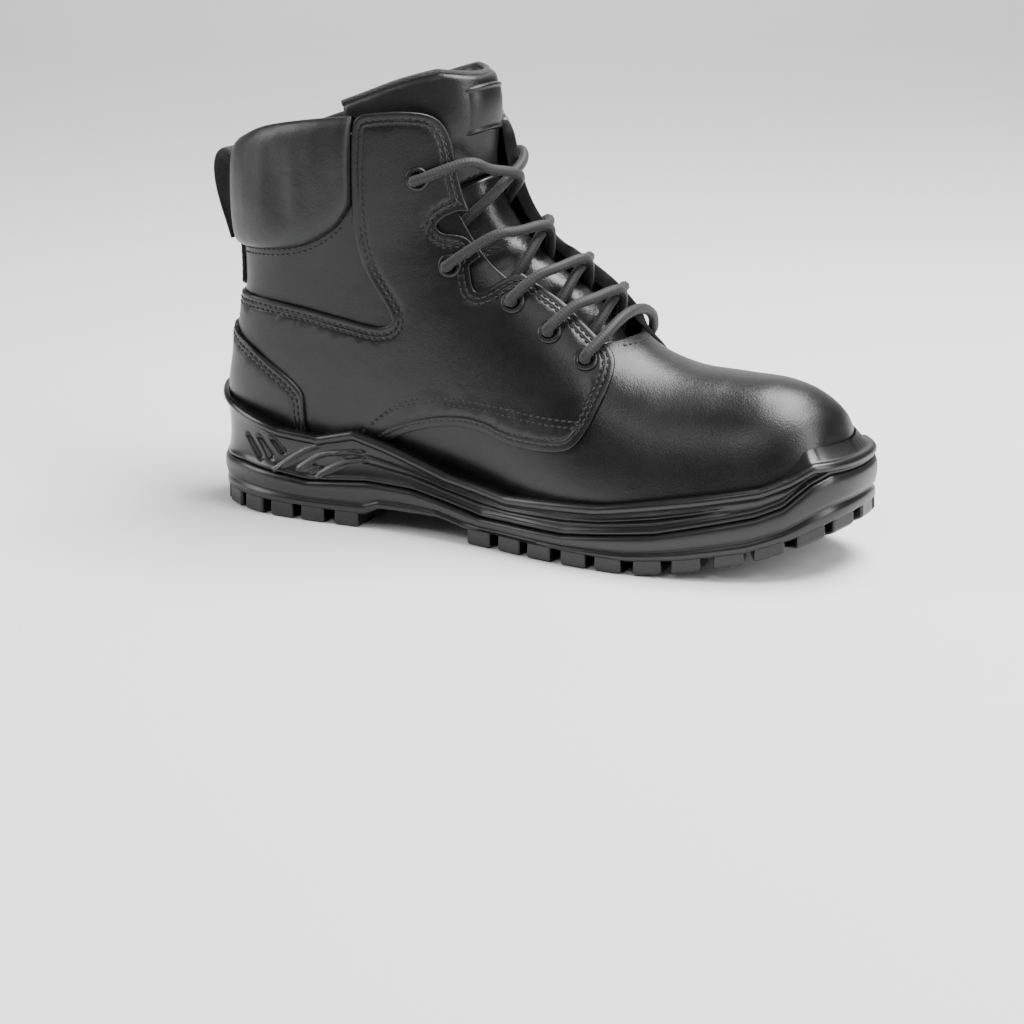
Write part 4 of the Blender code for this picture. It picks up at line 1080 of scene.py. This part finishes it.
def build_collar(seams):
    """The padded collar: out over the shaft, over its top edge, down to the lining."""
    section = spline(((0.0, -0.6), (0.0, 1.0), (0.02, 2.9), (0.07, 4.2), (0.16, 5.0),
                      (0.32, 5.5), (0.55, 5.6), (0.76, 5.2), (0.9, 4.2), (0.97, 2.6),
                      (1.0, 0.6), (0.998, -1.8), (0.98, -4.2), (0.93, -6.1), (0.82, -7.2),
                      (0.62, -7.6), (0.42, -7.4), (0.26, -6.8)), 5)
    low, high = collar_edges(181)
    spots = skin(low[:, 0], low[:, 1], 3.0)
    along = lengths(spots) / MM
    ends = np.minimum(along, along[-1] - along)
    crown = np.sqrt(np.clip(1 - (1 - np.clip(ends / 5.0, 0, 1)) ** 2, 0.0, 1))
    f = section[:, 0][:, None]
    where = low[None] * (1 - f[..., None]) + high[None] * f[..., None]
    depth = section[:, 1][:, None] * np.ones(len(low))[None]
    outer = depth > 0.4
    depth = np.where(outer, 0.4 + (depth - 0.4) * (0.12 + 0.88 * crown[None]), depth)
    flat = skin(where[..., 0], where[..., 1], depth).reshape(-1, 3)
    swell = 0.35 * wander(flat, 46.0, 5.0) + 0.2 * wander(flat * (1, 1, 0.35), 130.0, 6.0)
    depth = depth + (swell.reshape(depth.shape) * crown[None] * ease(0.0, 0.12, f))
    points = skin(where[..., 0], where[..., 1], depth).reshape(-1, 3)
    faces = grid_faces(len(section), len(low))
    obj = piece("collar_pad", points, faces, [LEATHER_SOFT, MESH_CLOTH],
                replaces=("padded_collar",))
    columns = len(low) - 1
    for polygon in obj.data.polygons:
        polygon.material_index = 1 if polygon.index // columns > 60 else 0
    rows, count = len(section), len(low)
    grid = np.arange(rows * count).reshape(rows, count)
    held = np.concatenate([grid[:6].ravel(), grid[-10:].ravel(), grid[:, :3].ravel(),
                           grid[:, -3:].ravel()])
    inflated(obj, held, 5.0, 1.6)
    seam = low + (-0.075, 0.0)
    for drop in (0.0, COLLAR_ROW_GAP):
        line = stepped(seam, False, -drop, VAMP_FACE)
        middle = skin(line[:, 0], line[:, 1], 0.0) / MM
        keep = ((np.abs(middle[:, 1]) > 13) & (middle[:, 0] < -70)).astype(float)
        seams.on_skin(line, VAMP_FACE, keep)
    return obj


# ==== tongue ===================================================================================
def tongue_depth(u, y):
    upper = ease(10.1, 11.8, u)
    reach = 9.5 + 10.5 * ease(10.1, 11.2, u)
    top = -3.0 + 5.2 * upper
    side = -6.8 - 4.2 * upper
    return side + (top - side) * np.exp(-(np.abs(y) / reach) ** 4)


TONGUE_TOP = ((-110, 160), (-96, 172), (-80, 181), (-60, 187), (-45, 192), (-32, 196), (-22, 193),
              (-8, 188))


def tongue_end(a):
    """Section where the tongue's top edge crosses each angle a."""
    ends = []
    steps = np.linspace(11.2, 12.79, 160)
    for angle in a:
        spots = skin(steps, angle, -6.0) / MM
        over = spots[:, 2] - height(TONGUE_TOP, spots[:, 0])
        ends.append(np.interp(0.0, over, steps))
    return np.array(ends)


def tongue_slab(name, u_grid, a, thick, material, relief, replaces, puff=0.0, edge=1.6):
    """A slab between two offset faces with rolled edges, following the tongue's bulge."""
    y = skin(u_grid, a[None, :], -11.0)[..., 1] / MM
    fade = -4.6 * (1 - ease(5.7, 7.2, u_grid))
    top = tongue_depth(u_grid, y) + fade
    spots = skin(u_grid, a[None, :], top)
    rows, columns = u_grid.shape
    across = lengths(spots[rows // 2]) / MM
    side_gap = np.minimum(across, across[-1] - across)[None, :]
    down = np.array([lengths(spots[:, j]) / MM for j in range(columns)]).T
    end_gap = np.minimum(down, down[-1:] - down)
    gap = np.minimum(side_gap, end_gap)
    rolled = edge - np.sqrt(np.maximum(edge ** 2 - np.clip(edge - gap, 0, edge) ** 2, 0))
    lift = relief(spots.reshape(-1, 3)).reshape(gap.shape) * np.clip(gap / 3, 0, 1)
    lift = lift + puff * (1 - np.exp(-gap / 5.0)) - puff
    upper = skin(u_grid, a[None, :], top - rolled + lift)
    lower = skin(u_grid, a[None, :], top - thick + rolled * 0.6 - puff * 0.3)
    points = np.vstack([upper.reshape(-1, 3), lower.reshape(-1, 3)])
    n = rows * columns
    faces = grid_faces(rows, columns)
    faces += [tuple(n + i for i in reversed(f)) for f in grid_faces(rows, columns)]
    ring = ([j for j in range(columns)] + [i * columns + columns - 1 for i in range(1, rows)]
            + [(rows - 1) * columns + j for j in range(columns - 2, -1, -1)]
            + [i * columns for i in range(rows - 2, 0, -1)])
    for i, k in zip(ring, ring[1:] + ring[:1]):
        faces.append((k, i, n + i, n + k))
    obj = piece(name, points, faces, material, "tongue", replaces)
    return obj, upper, top


def build_tongue():
    half = np.linspace(-1, 1, 91)
    t = 1 - 0.45 * half ** 2
    a = np.where(half == 0, PI, PI + (PI - 2 * np.arcsin(np.sqrt(t))) * -np.sign(half))
    s = np.linspace(0, 1, 130)[:, None]
    lower_u = 5.75 + (9.98 - 5.75) * s + 0 * a[None, :]

    def folds(points):
        x, y, z = (points / MM).T
        slow = wander(points * (0.5, 1.0, 0.5), 120.0, 8.0)
        lines = np.sin((x * 0.62 + z * 0.55) * 0.42 + slow * 1.6)
        return 0.42 * lines * bell(y, 0, 26) + 0.2 * slow
    tongue_slab("tongue_leather", lower_u, a, 3.5, LEATHER_TONGUE, folds, ("tongue_lower",))
    end = tongue_end(a)
    s = np.linspace(0, 1, 80)[:, None]
    upper_u = 10.0 + (end[None, :] - 10.0) * s

    def quilt(points):
        return 0.35 * wander(points, 55.0, 3.0) + 0.18 * wander(points, 140.0, 4.0)
    pad, upper, _ = tongue_slab("tongue_padding", upper_u, a, 9.0, LEATHER_SOFT, quilt,
                                ("tongue_pad",), puff=1.0, edge=3.4)
    count, around = upper_u.shape
    ids = np.arange(2 * count * around).reshape(2, count, around)
    held = np.concatenate([ids[:, :3].ravel(), ids[:, -4:].ravel(), ids[:, :, :3].ravel(),
                           ids[:, :, -3:].ravel()])
    inflated(pad, held, 4.0, 1.2)
    top_edge = upper[-1]
    points, faces = tube(respaced(top_edge, lengths(top_edge) / MM, 1.2), 1.5 * MM, 12)
    piece("tongue_binding", points, faces, BINDING, "tongue")
    seams = Seams()
    spots = upper[4]
    normal = unit(np.cross(np.gradient(spots, axis=0), upper[8] - upper[4]))
    normal = normal * np.sign(normal[:, :1] + 1e-9)
    seams.line(spots, normal)
    seams.build("tongue_stitches", THREAD_CLOTH, body="tongue")
    build_patch()


def build_patch():
    """A plain rounded patch on the tongue, with a raised border."""
    rows, columns = 41, 49
    v = np.linspace(-1, 1, rows)[:, None]
    h = np.linspace(-1, 1, columns)[None, :]
    corner = np.maximum(np.abs(v), np.abs(h))
    shrink = 1 - 0.09 * (np.abs(v * h)) ** 4
    u = 11.5 + 0.56 * v * shrink
    width = 13.5 * h * shrink
    a = PI - width / 36.0 * 1.15
    border = 0.45 * ease(0.78, 0.84, corner) * (1 - ease(0.92, 1.0, corner))
    y = skin(u + 0 * h, a + 0 * v, 0.0)[..., 1] / MM
    base = tongue_depth(u + 0 * h, y)
    depth = base + 1.35 + border - 1.9 * ease(0.93, 1.0, corner)
    points = skin(u + 0 * h, a + 0 * v, depth).reshape(-1, 3)
    obj = piece("tongue_label_blank", points, grid_faces(rows, columns), LEATHER,
                "tongue", ("tongue_patch",))
    middle = obj.data.polygons[len(obj.data.polygons) // 2]
    if middle.normal.x < 0:
        obj.data.flip_normals()


# ==== eyelets and loop ===========================================================================
def build_eyelets():
    profile = spline(((2.55, -3.6), (2.6, 0.0), (2.65, 2.0), (3.0, 2.9), (3.8, 3.3), (4.6, 3.1),
                      (5.1, 2.6), (5.2, 2.1)), 4)
    sides = 40
    angle = np.arange(sides) * 2 * PI / sides
    for word, side in SIDES:
        spots, along_u, _, normals = axes_at(locate(EYELETS, side))
        for number in range(len(EYELETS)):
            normal = normals[number]
            across = unit(along_u[number] - normal * np.dot(along_u[number], normal))
            over = np.cross(normal, across)
            ring = np.cos(angle)[:, None] * across + np.sin(angle)[:, None] * over
            points = np.array([spots[number] + (ring * r + normal * h) * MM for r, h in profile])
            piece(f"eyelet_ring_{word}_{number + 1}", points.reshape(-1, 3),
                  grid_faces(len(profile), sides, True), ENAMEL,
                  replaces=(f"eyelet_{word}_{number + 1}",))


def build_pull_loop():
    line = spline(((-144.4, 155.5), (-146.6, 157.6), (-149.6, 157.6), (-152.4, 155.2),
                   (-153.9, 150.5), (-153.7, 143), (-151.6, 134), (-148.8, 125.5), (-146.4, 118)), 10)
    line = respaced(line, lengths(line), 0.8)
    ahead = unit(np.gradient(line, axis=0))
    out = np.column_stack([-ahead[:, 1], ahead[:, 0]])
    out = out * np.sign(-out[:, :1] + 1e-9)
    half, thick = 9.4, 0.8
    cross = []
    for n in range(48):
        angle = 2 * PI * n / 48
        c, s = math.cos(angle), math.sin(angle)
        cross.append((half * math.copysign(abs(c) ** 0.3, c), thick * math.copysign(abs(s) ** 0.6, s)))
    points = []
    for i in range(len(line)):
        rib = 1 + 0.18 * math.sin(i * PI)
        for y, e in cross:
            weave = 0.07 * math.sin(i * PI / 1.0) * math.sin(y * 4.2)
            spot = line[i] + out[i] * (e * rib + weave)
            points.append((spot[0] * MM, y * MM, spot[1] * MM))
    sides = len(cross)
    count = len(line)
    faces = grid_faces(count, sides, True)
    faces.append(tuple(range(sides)))
    faces.append(tuple((count - 1) * sides + k for k in range(sides - 1, -1, -1)))
    piece("webbing_loop", points, faces, WEBBING, replaces=("pull_loop",))


# ==== sole =========================================================================================
def sole_ring(spacing):
    """Plan of the sole's widest outline: points and inward normals in millimetres."""
    ring = spline(SOLE_PLAN, 24, True)
    ring = np.vstack([ring, ring[:1]])
    ring = respaced(ring, lengths(ring), spacing)[:-1]
    ahead = unit(np.roll(ring, -1, axis=0) - np.roll(ring, 1, axis=0))
    return ring, np.column_stack([ahead[:, 1], -ahead[:, 0]])


def reach_to_skin(ring, inward, z):
    """How far in from the ring each point has to go to be under the leather."""
    found = np.full(len(ring), 22.0)
    done = np.zeros(len(ring), bool)
    for step in np.arange(1.5, 22.0, 0.5):
        p = ring + inward * step
        where = locate(np.column_stack([p[:, 0], z]), 1)
        g = girths(where[:, 0])
        t = np.sin(where[:, 1] / 2) ** 2
        off = np.abs(p[:, 1] - g[:, 7])
        wide = g[:, 4] * np.sqrt(np.maximum(1 - t ** g[:, 5], 0)) * np.sqrt(
            np.maximum(1 - (1 - t) ** g[:, 6], 0))
        hit = (off < wide - 0.8) & (t > 0.001) & (t < 0.999) & ~done
        found[hit] = step
        done |= hit
    return found


def wall_piece(name, levels, ring, inward, material, replaces, relief=None, close=False):
    """Loft of rings; each level is (heights, insets)."""
    rows = []
    for heights, insets in levels:
        plan = ring + inward * insets[:, None]
        rows.append(np.column_stack([plan, heights]))
    stack = np.array(rows)
    if relief is not None:
        out = relief(stack)
        stack[:, :, :2] -= inward[None] * out[..., None]
    count = len(ring)
    points = stack.reshape(-1, 3) * MM
    faces = grid_faces(len(levels), count, True)
    if close:
        faces += [tuple(reversed(f)) for f in cap_faces(count)]
    obj = piece(name, points, faces, material, replaces=replaces)
    obj.data.flip_normals()
    return obj


def cap_faces(total):
    faces = []
    for i in range(total // 2):
        corners = list(dict.fromkeys((i, i + 1, total - i - 1, (total - i) % total)))
        if len(corners) > 2:
            faces.append(tuple(corners))
    return faces


def line_distance(points, line):
    """Distance in side view from rows of (x, z) to a polyline, in millimetres."""
    p = points[:, None, :]
    a = line[None, :-1, :]
    b = line[None, 1:, :]
    span = b - a
    t = np.clip(np.sum((p - a) * span, axis=2) / np.sum(span * span, axis=2), 0, 1)
    return np.sqrt(np.min(np.sum((p - a - span * t[..., None]) ** 2, axis=2), axis=1))


HEEL_GROOVES = (((-125, 34), (-117, 25.5)), ((-117, 34.5), (-110.5, 27)), ((-109, 35), (-104, 30)))
HEEL_ARC = ((-108, 20), (-104, 23.5), (-99.5, 27), (-92, 31.5), (-84, 34.8))
CLAW = ((-95, 23), (-88, 28), (-81, 31.2), (-68, 33.2), (-55, 33.8), (-51, 32.6), (-62, 30.6),
        (-73, 27.9), (-84, 21.8))
CLAW_HATCH = (((-92, 22.6), (-87, 25.6)), ((-88.5, 22), (-83.5, 25)), ((-75, 32), (-71.5, 30)))


def heel_marks(stack):
    """Moulded grooves and a raised hook shape on both sides of the heel."""
    shape = stack.shape[:2]
    flat = stack.reshape(-1, 3)
    side = flat[:, [0, 2]]
    out = np.zeros(len(flat))
    near = (flat[:, 0] < -60) & (flat[:, 2] > 18) & (np.abs(flat[:, 1]) > 12)
    spots = side[near]
    value = np.zeros(len(spots))
    for groove in HEEL_GROOVES:
        d = line_distance(spots, rows_of(groove))
        value -= 1.7 * (1 - ease(0.9, 2.0, d))
    value += 1.2 * (1 - ease(0.4, 1.3, line_distance(spots, spline(HEEL_ARC, 5))))
    value += 1.3 * (1 - ease(0.4, 1.3, line_distance(spots, spline(CLAW, 4))))
    for hatch in CLAW_HATCH:
        value += 0.7 * (1 - ease(0.2, 0.8, line_distance(spots, rows_of(hatch))))
    out[near] = value
    return out.reshape(shape)


def build_sole():
    ring, inward = sole_ring(1.1)
    x = ring[:, 0]
    # rolled rim, side panel, two thin ridges in the forefoot, lip above the parting line
    rim = height(RIM_TOP, x)
    part = height(PARTING, x)
    room = rim - 4.4 - (part + 2.0)
    fore = ease(-72, -50, x) * (1 - ease(100, 118, x))
    ridge_a = rim - 4.4 - room * 0.36
    ridge_b = rim - 4.4 - room * 0.62
    reach = reach_to_skin(ring, inward, rim)
    levels = []

    def add(z, inset):
        levels.append((z, np.broadcast_to(np.asarray(inset, float), z.shape)))
    add(part + 0.3, 2.2)
    add(part + 0.5, 1.5)
    add(part + 1.6, 1.3)
    spans = ((part + 2.0, ridge_b - 1.1, 8), (ridge_b - 0.9, ridge_b + 0.9, 6),
             (ridge_b + 1.1, ridge_a - 1.1, 7), (ridge_a - 0.9, ridge_a + 0.9, 6),
             (ridge_a + 1.1, rim - 4.4, 8))
    for n, (low, high, count) in enumerate(spans):
        for k in range(count):
            f = k / (count - 1)
            z = low + (high - low) * f
            bump = math.sin(f * PI) if n in (1, 3) else 0.0
            hollow = np.sin(np.clip((z - part - 2) / np.maximum(room, 1), 0, 1) * PI) ** 0.6
            add(z, 1.6 + 1.5 * hollow - 1.2 * bump * fore)
    for lift, inset in ((-4.3, 2.6), (-4.1, 1.5), (-3.6, 0.8), (-2.8, 0.35), (-1.8, 0.35),
                        (-0.9, 0.8), (-0.3, 1.5), (-0.1, 2.3), (-0.35, 3.1)):
        add(rim + lift, inset)
    slope = 5.5 * ease(132, 146, x)
    add(rim - 0.8 + slope * 0.2, np.minimum(4.4, reach))
    add(rim - 0.9 + slope, np.maximum(reach, 4.5))
    wall_piece("midsole_wall", levels, ring, inward, POLYURETHANE, ("midsole",),
               heel_marks)

    base = height(TREAD_BASE, x)
    levels = []
    add(base, 2.6)
    add(base + 0.4, 1.2)
    add(base + 1.4, 0.5)
    mid = (part - base)
    for f, inset in ((0.2, 0.5), (0.28, 0.7), (0.33, 1.5), (0.38, 1.5), (0.43, 0.5), (0.52, 0.25),
                     (0.6, 0.0), (0.72, -0.15), (0.84, -0.1), (0.92, 0.2)):
        add(base + mid * f, inset)
    add(part - 0.25, 0.8)
    add(part, 1.6)
    add(part + 0.2, 2.6)
    add(part + 0.2, 6.0)
    wall_piece("outsole_wall", levels, ring, inward, RUBBER, (), None, True)
    build_lugs(ring, inward)


def build_lugs(ring, inward):
    """Bevelled tread blocks round the edge and down the middle."""
    points = []
    faces = []

    def block(cx, cy, angle, length, width):
        c, s = math.cos(angle), math.sin(angle)
        rings = ((None, 0.0), (1.0, -0.25), (0.35, 0.15), (0.0, 0.8), (0.0, 2.2), (0.5, 2.6))
        first = len(points)
        for lift, draw in rings:
            a, b = length / 2 - draw, width / 2 - draw
            r = 1.1
            corner = []
            for qx, qy, start in ((1, 1, 0), (-1, 1, 1), (-1, -1, 2), (1, -1, 3)):
                for k in range(4):
                    t = (start + k / 3) * PI / 2
                    corner.append((qx * (a - r) + r * math.cos(t), qy * (b - r) + r * math.sin(t)))
            for px, py in corner:
                x, y = cx + c * px - s * py, cy + s * px + c * py
                if lift is None:
                    z = float(height(TREAD_BASE, x)) + 1.4 + 2.0 * float(ease(88, 110, x))
                else:
                    z = float(height(GROUND_LINE, x)) + lift
                points.append((x * MM, y * MM, z * MM))
        count = 16
        for i in range(len(rings) - 1):
            for j in range(count):
                k = (j + 1) % count
                faces.append((first + i * count + k, first + i * count + j,
                              first + (i + 1) * count + j, first + (i + 1) * count + k))
        faces.append(tuple(first + (len(rings) - 1) * count + j for j in range(count - 1, -1, -1)))
    travelled = 0.0
    for i in range(len(ring)):
        travelled += float(np.linalg.norm(ring[(i + 1) % len(ring)] - ring[i]))
        if travelled < LUG_PITCH:
            continue
        travelled -= LUG_PITCH
        cx, cy = ring[i] + inward[i] * LUG_INSET
        if ARCH[0] < cx < ARCH[1]:
            continue
        block(cx, cy, math.atan2(inward[i][1], inward[i][0]), LUG_SIZE[1], LUG_SIZE[0])
    for cx in (-120, -92, 12, 40, 68, 96):
        for side in (-1, 1):
            block(cx, side * 12, side * math.radians(28), 10, 16)
    piece("tread_blocks", points, faces, RUBBER, replaces=("outsole",), smooth=False)


# ==== carried-over CAD nodes =========================================================================
def dress_nodes():
    looks = {"vamp_lining": MESH_CLOTH, "steel_toe_cap": STEEL, "puncture_plate": STEEL,
             "shank": STEEL, "heel_stiffener": FIBRE, "insole_board": FIBRE, "footbed": FOOTBED,
             "lace_aglet_lateral": AGLET, "lace_aglet_medial": AGLET}
    for name, material in looks.items():
        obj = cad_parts[name]
        obj.data.materials.clear()
        obj.data.materials.append(material)


# ==== assembly ========================================================================================
set_stage()
build_lace()
sewing = Seams()
build_vamp(sewing)
build_quarters(sewing)
build_counter(sewing)
build_collar(sewing)
sewing.build("upper_stitches", THREAD_CLOTH)
build_tongue()
build_eyelets()
build_pull_loop()
build_sole()
dress_nodes()
